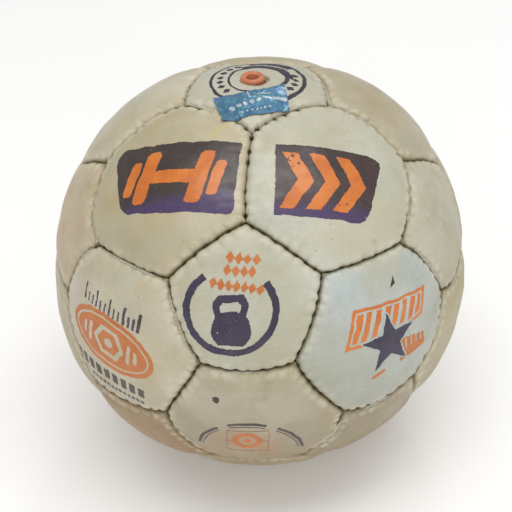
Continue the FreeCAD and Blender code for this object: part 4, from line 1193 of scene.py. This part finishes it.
def low_block(x, y):
    f = sd_poly(x, y, [(8.0, -4.4), (24.6, -5.6), (26.4, -13.0), (10.0, -17.2)])
    slits = either(*[sd_seg(x, y, (12.0 + 3.4 * k, -5.6 - 0.1 * k), (13.0 + 3.4 * k, -10.4 + 0.3 * k)) - 0.5 for k in range(4)])
    smear = sd_seg(x, y, (-5.0, -21.8), (0.4, -20.0)) - 0.9
    return either(np.maximum(np.maximum(f, -slits), 0.9 - star(x, y)), smear)


film("print_band", pan_s, band, (-24, -7, 27, 20), 0.32, 1, 2.1, material=ORANGE)
film("print_star", pan_s, star_sign, (-15, -22, 19, 13), 0.30, 2, 2.6, material=VIOLET)
film("print_low_block", pan_s, low_block, (-8, -24, 28, -2), 0.30, 1, 1.9, material=ORANGE_WORN)
film("print_mark", pan_s, lambda x, y: sd_poly(x, y, [(5.6, 28.8), (6.5, 24.3), (3.8, 22.4), (4.4, 25.6)]), (1, 20, 9, 31), 0.2, 1, 4.0, 0.05, material=DARK_SPOT)


# lower hexagon: a dot, an arc of small signs and a ring with a dot in a thin frame
def arc_signs(x, y):
    """Three plain curved bars with a fine line inside them, in place of a line of print."""
    cx, cy, r = -1.1, -20.8, 26.0
    k, a = np.hypot(x - cx, y - cy), np.degrees(np.arctan2(y - cy, x - cx))
    bars = np.minimum(np.abs(k - r - 0.5) - 0.85, np.abs(k - r + 1.6) - 0.30)
    ends = either(*[(np.abs(a - mid) - half) * r * math.radians(1) for mid, half in ((151.5, 24.0), (93.5, 21.0), (32.0, 27.0))])
    return np.maximum(bars, ends)


def bottom_ring(x, y):
    k = np.hypot((x + 2.6) / 1.0, (y + 9.2) / 1.0)
    return either(np.abs(k - 6.2) - 1.5, k - 2.1)


def thin_frame(x, y):
    f = sd_poly(x, y, [(-12.4, -0.8), (8.4, 0.8), (7.6, -19.4), (-12.8, -20.4)])
    return either(np.abs(f) - 0.22, sd_seg(x, y, (-12.6, -9.8), (-9.6, -9.6)) - 0.22, sd_seg(x, y, (4.6, -9.0), (8.0, -8.8)) - 0.22)


film("print_dot", pan_b, lambda x, y: np.hypot(x + 16.8, y - 20.1) - 2.0, (-20, 17, -14, 23), 0.22, 1, 4.0, 0.10, material=DARK_SPOT)
film("print_arc", pan_b, arc_signs, (-30, -24, 28, 8), 0.26, 1, 3.1, 0.05, material=GREY_INK)
film("print_bottom_ring", pan_b, bottom_ring, (-11, -18, 6, 0), 0.30, 1, 2.0, material=ORANGE_WORN)
film("print_frame", pan_b, thin_frame, (-15, -22, 10, 3), 0.2, 1, 1.2, 0.05, material=GREY_FAINT)


# valve panel: two rings, with plain signs between them and a stretch filled in on the far side
def valve_rings(x, y):
    cx, cy = 0.8, 1.4
    k, a = np.hypot(x - cx, y - cy), np.degrees(np.arctan2(y - cy, x - cx))
    outer = np.abs(k - 23.2) - (0.72 + 0.35 * np.clip(np.cos(np.radians(a + 20)), 0, 1))
    inner = np.abs(k - 14.2) - (0.85 + 0.3 * np.cos(np.radians(a - 20)))
    fill_in = np.maximum(np.abs(k - 15.8) - 1.9, (np.abs(a - 58) - 58) * 0.3)
    fill_out = np.maximum(np.abs(k - 21.4) - 2.2, (np.abs(a - 70) - 30) * 0.3)
    out = either(outer, inner, fill_in, fill_out)
    for at in (15, -1, -17, -33, 119, 135, 151, 167, 183, 199, 215):
        t = math.radians(at)
        out = np.minimum(out, icon(x, y, cx + 18.7 * math.cos(t), cy + 18.7 * math.sin(t), 3.4, 4.4, at - 90, 1))
    return out


film("print_valve_rings", pan_v, valve_rings, (-24, -24, 26, 27), 0.32, 1, 2.4, material=VIOLET_DARK)


# ---------------------------------------------------------------- foil label
def closed_sheet(name, top, low, nx, ny):
    """A thin closed solid from two grids of nx by ny points."""
    faces = []
    n = nx * ny
    for j in range(ny - 1):
        for i in range(nx - 1):
            a = j * nx + i
            faces.append((a, a + 1, a + nx + 1, a + nx))
            faces.append((a + nx + n, a + nx + 1 + n, a + 1 + n, a + n))
    loop = [i for i in range(nx)] + [j * nx + nx - 1 for j in range(1, ny)] + [(ny - 1) * nx + i for i in range(nx - 2, -1, -1)] + [j * nx for j in range(ny - 2, 0, -1)]
    for k in range(len(loop)):
        a, b = loop[k], loop[(k + 1) % len(loop)]
        faces.append((b, a, a + n, b + n))
    ob = new_object(name, np.concatenate([top, low]), faces)
    ob.data.set_sharp_from_angle(angle=math.radians(50))
    return ob


def foil_label():
    length, width, turn = 34.6, 17.8, 13.4
    nx, ny = 118, 62
    u, v = np.meshgrid(np.linspace(-length / 2, length / 2, nx), np.linspace(-width / 2, width / 2, ny))
    # a hand-cut outline: the ends aren't quite square
    u2 = u + 0.35 * np.sin(v * 0.5) * (u / length) + 0.012 * v * u / 3
    v2 = v * (1 + 0.02 * np.sin(u * 0.4)) - 1.5 * (1 - (u / 17.3) ** 2)
    t = math.radians(turn)
    px = -1.7 + u2 * math.cos(t) - v2 * math.sin(t)
    py = -19.4 + u2 * math.sin(t) + v2 * math.cos(t)
    d = from_local(pan_v, px.ravel(), py.ravel())
    p = d * R
    sink = -0.08 + 0.16 * wave(p, F_ROLL) + 0.085 * wave(p, F_DENT)
    # the foil bridges the seam under its lower corner and sags a little into it
    m = (d @ pan_v.normals.T).min(1) * R
    sag = 0.95 * np.exp(-(m / 2.6) ** 2) + 0.95 * np.exp(-np.abs(m) / 6.0)
    uu, vv = u.ravel(), v.ravel()
    fold = np.zeros(len(uu))
    rng = np.random.default_rng(77)
    for _ in range(34):
        a = rng.uniform(-0.9, 0.9) + (0.0 if rng.random() < 0.6 else math.pi / 2)
        off = rng.uniform(-length / 2, length / 2)
        s = uu * math.cos(a) + vv * math.sin(a) - off * math.cos(a) - rng.uniform(-width / 2, width / 2) * math.sin(a)
        along = -uu * math.sin(a) + vv * math.cos(a) - rng.uniform(-6, 6)
        w = rng.uniform(0.25, 0.8)
        fold += rng.uniform(0.08, 0.34) * np.exp(-np.abs(s) / w) * np.exp(-(along / rng.uniform(3, 9)) ** 2)
    corner_lift = 0.9 * np.clip((np.abs(uu) - 13.6) / 3.7, 0, 1) ** 2 * np.clip((np.abs(vv) - 4.0) / 5.0, 0, 1) ** 2
    base = place(d, R - sink - sag + 0.16 + fold + corner_lift)
    low = base - unit(base) * 0.10
    ob = closed_sheet("crinkled_foil_label", base, low, nx, ny)
    add_float(ob, "fu", np.tile(uu, 2))
    add_float(ob, "fv", np.tile(vv, 2))
    # pale signs in place of print, and one tapered pale streak that is partly worn silver and partly a painted glint
    signs_and_glint = either(icons(u, v, (-12.0, -1.8), (4.5, 0.4), (2,) * 5, 2.9, 1.1), icons(u, v, (-7.0, -6.4), (8.0, -5.2), (2,) * 7, 1.3, 1.2), sd_taper(u, v, (5.2, 2.0), (15.6, -2.4), 0.35, 1.25),
                   sd_seg(u, v, (-0.6, 3.4), (-0.9, 8.2)) - 0.35, sd_seg(u, v, (3.5, 5.2), (9.5, 4.0)) - 0.3)
    add_float(ob, "mark", np.tile(np.clip(0.5 - signs_and_glint.ravel() / 0.5, 0, 1), 2))
    g = Graph("blue_foil")
    hue = g.noise(7.5, 3, 0.6, (1, 0, 2), 1.2)
    base_c = g.mix(g.ramp(hue, 0.38, 0.55), srgb(62, 118, 150), srgb(82, 130, 168))
    base_c = g.mix(g.ramp(g.noise(5.0, 3, 0.6, (4, 4, 0), 1.0), 0.54, 0.66, 0, 0.5), base_c, srgb(78, 104, 158))
    base_c = g.mix(g.ramp(g.noise(4.2, 3, 0.6, (0, 9, 3), 1.4), 0.54, 0.66, 0, 0.9), base_c, srgb(92, 168, 176))
    # pale streaks across the foil: painted glints
    pale = g.ramp(g.noise(2.6, 4, 0.7, (5, 2, 7), 1.6, (0.5, 1.4, 1.0)), 0.58, 0.70, 0, 0.55)
    base_c = g.mix(pale, base_c, srgb(158, 192, 212))
    base_c = g.mix(g.math("MULTIPLY", g.ramp(g.attr("mark"), 0.3, 0.7), g.ramp(g.noise(1.6, 3, 0.6, (1, 7, 1)), 0.34, 0.52, 0.62, 0.92)), base_c, srgb(212, 222, 230))
    worn = g.math("MULTIPLY", g.ramp(g.noise(1.1, 3, 0.7, (2, 2, 2)), 0.62, 0.70), 0.4)
    base_c = g.mix(worn, base_c, srgb(198, 214, 224))
    rough = g.ramp(g.noise(3.0, 3, 0.6), 0.3, 0.7, 0.20, 0.42)
    n1 = g.bump(g.noise(1.4, 4, 0.7, (0, 0, 0), 0.8), 0.08, 0.6)
    n2 = g.bump(g.voronoi(2.6, "DISTANCE_TO_EDGE", (7, 7, 7)), 0.10, 0.6, n1)
    mat = g.set(Base=base_c, Rough=rough, Metal=0.35, Spec=0.6, Coat=0.6, CoatRough=0.12, Normal=n2)
    finish_piece(ob, mat, BALL, ("foil_label",))


foil_label()


# ---------------------------------------------------------------- valve
def lathe(name, profile, segments, wobble=0.0, seed=1):
    """A closed ring of (r, z) points turned about Z. Points with r = 0 become single poles."""
    rng = np.random.default_rng(seed)
    ph = rng.random(4) * 6.28
    verts, rings, faces = [], [], []
    for r, z in profile:
        if r == 0:
            rings.append((len(verts), 1))
            verts.append((0, 0, z))
            continue
        rings.append((len(verts), segments))
        for k in range(segments):
            a = 2 * math.pi * k / segments
            e = 1 + wobble * (0.5 * math.sin(2 * a + ph[0]) + 0.3 * math.sin(3 * a + ph[1]) + 0.2 * math.sin(7 * a + ph[2])) / max(r, 1)
            zz = z + wobble * 0.6 * math.sin(2 * a + ph[3]) * (1 if z > R - 3 else 0)
            verts.append((r * e * math.cos(a), r * e * math.sin(a), zz))
    n = len(rings)
    for k in range(n):
        (a, na), (b, nb) = rings[k], rings[(k + 1) % n]
        if na == 1 and nb == 1:
            continue
        if na == 1:
            faces += [(a, b + i, b + (i + 1) % nb) for i in range(nb)]
        elif nb == 1:
            faces += [(a + (i + 1) % na, a + i, b) for i in range(na)]
        else:
            faces += [(a + (i + 1) % na, a + i, b + i, b + (i + 1) % na) for i in range(na)]
    return new_object(name, verts, faces)


def arc(cx, cz, r, a0, a1, n):
    return [(cx + r * math.cos(math.radians(a0 + (a1 - a0) * k / n)), cz + r * math.sin(math.radians(a0 + (a1 - a0) * k / n))) for k in range(n + 1)]


def rubber_material(name, a, b, c):
    g = Graph(name)
    base = g.mix(g.ramp(g.noise(3.0, 4, 0.6), 0.35, 0.65), a, b)
    base = g.mix(g.ramp(g.noise(1.2, 4, 0.7, (2, 0, 5)), 0.56, 0.72, 0, 0.6), base, c)
    n1 = g.bump(g.noise(0.6, 4, 0.7), 0.06, 0.7)
    n2 = g.bump(g.noise(2.2, 3, 0.6, (1, 1, 1)), 0.10, 0.5, n1)
    return g.set(Base=base, Rough=g.ramp(g.noise(2.0, 3), 0.3, 0.7, 0.40, 0.58), Spec=0.45, Sheen=0.1, Normal=n2)


STEM_RUBBER = rubber_material("valve_rubber", srgb(214, 138, 98), srgb(200, 122, 84), srgb(220, 164, 132))
CORE_RUBBER = rubber_material("core_rubber", srgb(166, 88, 56), srgb(148, 78, 52), srgb(184, 116, 84))

lip_r, lip_c = 1.62, 4.35
lip_z = STEM_TOP - lip_r
bladder_top = R * 103.7 / 110.0
stem_profile = (
    [(3.06, CORE_LOW - 0.15), (3.06, lip_z - 1.6), (3.0 + 0.06, lip_z - 0.6)]
    + arc(lip_c, lip_z, lip_r - 0.28, 196, 90, 12)
    + arc(lip_c, lip_z, lip_r, 84, -38, 16)
    + [(5.45, lip_z - 1.35), (5.75, lip_z - 2.1), (5.95, lip_z - 3.2), (5.95, 106.4)]
    + arc(6.75, 106.0, 0.8, 180, 262, 6)
    + [(9.0, math.sqrt(105.2 ** 2 - 81)), (12.0, math.sqrt(105.2 ** 2 - 144)), (15.6, math.sqrt(105.2 ** 2 - 15.6 ** 2)), (16.7, math.sqrt(105.0 ** 2 - 16.7 ** 2)),
       (17.0, math.sqrt(104.6 ** 2 - 289)), (16.8, math.sqrt(103.9 ** 2 - 16.8 ** 2)), (16.2, math.sqrt(103.75 ** 2 - 16.2 ** 2)), (11.0, math.sqrt(103.75 ** 2 - 121)),
       (6.0, math.sqrt(103.75 ** 2 - 36)), (5.95, 100.0), (5.95, 93.2)]
    + arc(5.2, 92.75, 0.75, 0, -90, 4)
    + [(2.2, 92.0), (1.3, 92.3), (1.2, 92.9), (1.2, CORE_LOW - 0.3)]
)
stem = lathe("valve_stem_moulding", stem_profile, 128, 0.06, 3)
stem.data.set_sharp_from_angle(angle=math.radians(62))
finish_piece(stem, STEM_RUBBER, BALL, ("valve_stem",))

core_profile = (
    [(0.0, CORE_LOW), (1.9, CORE_LOW), (2.25, CORE_LOW + 0.06), (2.85, CORE_LOW + 0.75), (2.96, CORE_LOW + 1.0), (2.96, CORE_TOP - 0.55)]
    + arc(2.55, CORE_TOP - 0.45, 0.41, 0, 90, 6)
    + arc(2.42, CORE_TOP - 0.55, 0.55, 96, 150, 4)
    + [(1.62, CORE_TOP - 0.62), (1.32, CORE_TOP - 0.95), (1.12, CORE_TOP - 1.25), (1.05, CORE_TOP - 1.6), (1.05, CORE_TOP - 7.3), (0.95, CORE_TOP - 7.45), (0.0, CORE_TOP - 7.5)]
)
core = lathe("valve_core_plug", core_profile, 96, 0.0, 5)
core.data.set_sharp_from_angle(angle=math.radians(60))
finish_piece(core, CORE_RUBBER, CORE, ("valve_core",))


# ---------------------------------------------------------------- saddle-stitch thread
def thread_piece(name, seams, node):
    """Two waxed cords along each seam. They swap sides of the seam at every hole."""
    verts, faces = [], []
    sides = 8
    for a_key, b_key in seams:
        a, b = corner(*a_key), corner(*b_key)
        z = unit(a + b)
        x = unit(b - a)
        y = np.cross(z, x)
        s, forward = seam_of(a_key, b_key)
        at = s["at"] if forward else -s["at"][::-1]
        for strand in (0, 1):
            k = np.linspace(0, STITCHES - 1, 13 * (STITCHES - 1) + 1)
            u = np.interp(k, np.arange(STITCHES), at)
            wave_y = np.sin(math.pi * k) / np.sqrt(np.sin(math.pi * k) ** 2 + 0.035)
            lat = 2.55 * wave_y * (1 if strand == 0 else -1)
            ang = u * PITCH
            depth = 5.15 - 0.25 * (1 - np.abs(wave_y)) ** 1.4 + (0.36 if strand == 0 else -0.36) * (1 - np.abs(wave_y))
            direction = unit(np.cos(ang)[:, None] * z + np.sin(ang)[:, None] * x)
            d = unit(direction + y[None] * (lat / (R - depth))[:, None])
            p = drift(d) * (R - depth)[:, None]
            tan = np.gradient(p, axis=0)
            tan = unit(tan)
            up = unit(p)
            side = unit(np.cross(tan, up))
            up2 = np.cross(side, tan)
            length = np.concatenate([[0], np.cumsum(np.linalg.norm(np.diff(p, axis=0), axis=1))])
            start = len(verts)
            ends = np.ones(len(p))
            ends[0] = ends[-1] = 0.55
            for i in range(sides):
                phi = 2 * math.pi * i / sides + length * 2.2
                rad = 0.42 * (1 + 0.16 * np.cos(2 * (phi - length * 2.2 * 2))) * ends
                q = p + side * (rad * np.cos(phi))[:, None] + up2 * (rad * np.sin(phi))[:, None]
                if i == 0:
                    rows = np.empty((len(p), sides, 3))
                rows[:, i] = q
            verts.extend(rows.reshape(-1, 3).tolist())
            m = len(p)
            for j in range(m - 1):
                for i in range(sides):
                    i2 = (i + 1) % sides
                    faces.append((start + j * sides + i, start + j * sides + i2, start + (j + 1) * sides + i2, start + (j + 1) * sides + i))
            faces.append(tuple(start + i for i in range(sides))[::-1])
            faces.append(tuple(start + (m - 1) * sides + i for i in range(sides)))
    ob = new_object(name, verts, faces)
    finish_piece(ob, THREAD, BALL, (node,))


def thread_material():
    g = Graph("waxed_thread")
    base = g.mix(g.ramp(g.noise(1.5, 3, 0.6), 0.35, 0.65), srgb(94, 82, 50), srgb(70, 60, 34))
    fibre = g.noise(0.22, 3, 0.7, (0, 0, 0), 0.0, (1, 1, 3))
    base = g.mix(g.ramp(fibre, 0.4, 0.7, 0, 0.6), base, srgb(132, 118, 80))
    return g.set(Base=base, Rough=0.5, Sheen=0.15, Coat=0.1, Normal=g.bump(fibre, 0.05, 0.8))


THREAD = thread_material()
SHORT_SEAMS = [(k[0], k[1]) for k in sorted({tuple(sorted(((i, a), (i, b)))) for i in range(12) for a in NEAR[i] for b in NEAR[i] if a != b and b in NEAR[a]})]
LONG_SEAMS = [((i, j), (j, i)) for i in range(12) for j in NEAR[i] if i < j]
thread_piece("saddle_stitch_pentagon_seams", SHORT_SEAMS, "pentagon_seam_thread")
thread_piece("saddle_stitch_hexagon_seams", LONG_SEAMS, "hexagon_seam_thread")

# ---------------------------------------------------------------- camera, floor and light
scene = bpy.context.scene


def look(right, up, back, at):
    from mathutils import Matrix
    m = Matrix.Identity(4)
    for k in range(3):
        m[k][0], m[k][1], m[k][2], m[k][3] = right[k], up[k], back[k], at[k]
    return m


cam_data = bpy.data.cameras.new("camera")
cam_data.lens = 73.24
cam_data.sensor_width = 36.0
cam_data.clip_end = 20.0
cam = bpy.data.objects.new("camera", cam_data)
cam.matrix_world = look((0.99809103, 0.04878236, -0.03787587), (0.00135375, 0.59584696, 0.80309686), (0.06174518, -0.80161505, 0.59464347),
                        tuple(R * MM * k for k in (0.29698436, -4.133575, 3.09606044)))
scene.collection.objects.link(cam)
scene.camera = cam

world = bpy.data.worlds.new("studio")
world.use_nodes = True
world.node_tree.nodes["Background"].inputs[0].default_value = (1.0, 0.99, 0.97, 1.0)
world.node_tree.nodes["Background"].inputs[1].default_value = 0.38
scene.world = world


def floor():
    n, half = 24, 2.5
    g = np.linspace(-half, half, n + 1)
    verts = [(x, y, -R * MM) for y in g for x in g]
    faces = [(j * (n + 1) + i, j * (n + 1) + i + 1, (j + 1) * (n + 1) + i + 1, (j + 1) * (n + 1) + i) for j in range(n) for i in range(n)]
    me = bpy.data.meshes.new("floor")
    me.from_pydata(verts, [], faces)
    ob = bpy.data.objects.new("floor", me)
    scene.collection.objects.link(ob)
    g2 = Graph("pale_floor")
    base = g2.mix(g2.ramp(g2.noise(300, 2), 0.3, 0.7), (0.955, 0.955, 0.955), (0.97, 0.97, 0.97))
    ob.data.materials.append(g2.set(Base=base, Rough=0.9, Spec=0.1))
    g2.bsdf.inputs["Emission Color"].default_value = (1, 1, 1, 1)
    g2.bsdf.inputs["Emission Strength"].default_value = 0.13
    return ob


floor()


def area(name, direction, distance, size, power, colour=(1, 1, 1), size_y=None):
    from mathutils import Vector
    li = bpy.data.lights.new(name, "AREA")
    li.shape = "RECTANGLE"
    li.size = size
    li.size_y = size_y or size
    li.energy = power
    li.color = colour
    ob = bpy.data.objects.new(name, li)
    d = Vector(direction).normalized()
    ob.location = d * distance
    ob.rotation_mode = "QUATERNION"
    ob.rotation_quaternion = (-d).to_track_quat("-Z", "Y")
    scene.collection.objects.link(ob)
    return ob


area("key", (0.04, -0.16, 0.99), 3.0, 3.0, 52.0, (1.0, 0.995, 0.98), size_y=1.3)
area("side", (0.75, -0.35, 0.75), 2.4, 1.4, 2.5, (0.96, 0.985, 1.0))
area("fill", (0.05, -1.0, 0.75), 3.0, 2.0, 9.5, (1.0, 0.99, 0.97))
area("window", (0.114, 0.69, 0.714), 2.5, 0.30, 2.6, (0.90, 0.96, 1.0))
scene.view_settings.view_transform = "Standard"                     # plain sRGB, so pale things stay pale

# ---------------------------------------------------------------- hidden CAD nodes keep their shape
def simple(name, a, b, rough, mm=6.0, bump=0.1, grain=1.0, **kw):
    g = Graph(name)
    base = g.mix(g.ramp(g.noise(mm, 4, 0.6), 0.35, 0.65), a, b)
    n = g.bump(g.noise(grain, 3, 0.6), bump, 0.6)
    return g.set(Base=base, Rough=g.ramp(g.noise(mm * 2, 3), 0.3, 0.7, rough - 0.05, rough + 0.08), Normal=n, **kw)


RUBBER = simple("black_rubber", srgb(42, 38, 36), srgb(54, 49, 46), 0.62, 30, 0.15, 2.2)


def woven(name, a, b, pitch):
    g = Graph(name)
    waves = []
    for axis in ("X", "Z"):
        w = g.node("ShaderNodeTexWave", wave_type="BANDS", bands_direction=axis, wave_profile="SIN")
        w.inputs["Scale"].default_value = 1000.0 / pitch / 6.2832 * 1.0
        w.inputs["Distortion"].default_value = 0.6
        w.inputs["Detail"].default_value = 1.0
        g.link(g.coord, w.inputs["Vector"])
        waves.append(w.outputs["Fac"])
    weave = g.math("MULTIPLY", waves[0], waves[1])
    base = g.mix(g.ramp(g.noise(12, 3), 0.35, 0.65), a, b)
    base = g.mix(g.ramp(weave, 0.1, 0.8, 0.35, 0.0), base, srgb(120, 112, 92))
    return g.set(Base=base, Rough=0.85, Sheen=0.25, Normal=g.bump(weave, 0.12, 0.7))


LINING = woven("woven_cotton", srgb(206, 200, 182), srgb(192, 184, 162), 0.9)
PATCH = woven("patch_cloth", srgb(178, 170, 148), srgb(160, 150, 126), 0.7)
for node, mat in (("pentagon_linings", LINING), ("hexagon_linings", LINING), ("valve_panel_lining", LINING), ("bladder", RUBBER), ("valve_patch", PATCH)):
    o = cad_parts[node]
    o.data.materials.clear()
    o.data.materials.append(mat)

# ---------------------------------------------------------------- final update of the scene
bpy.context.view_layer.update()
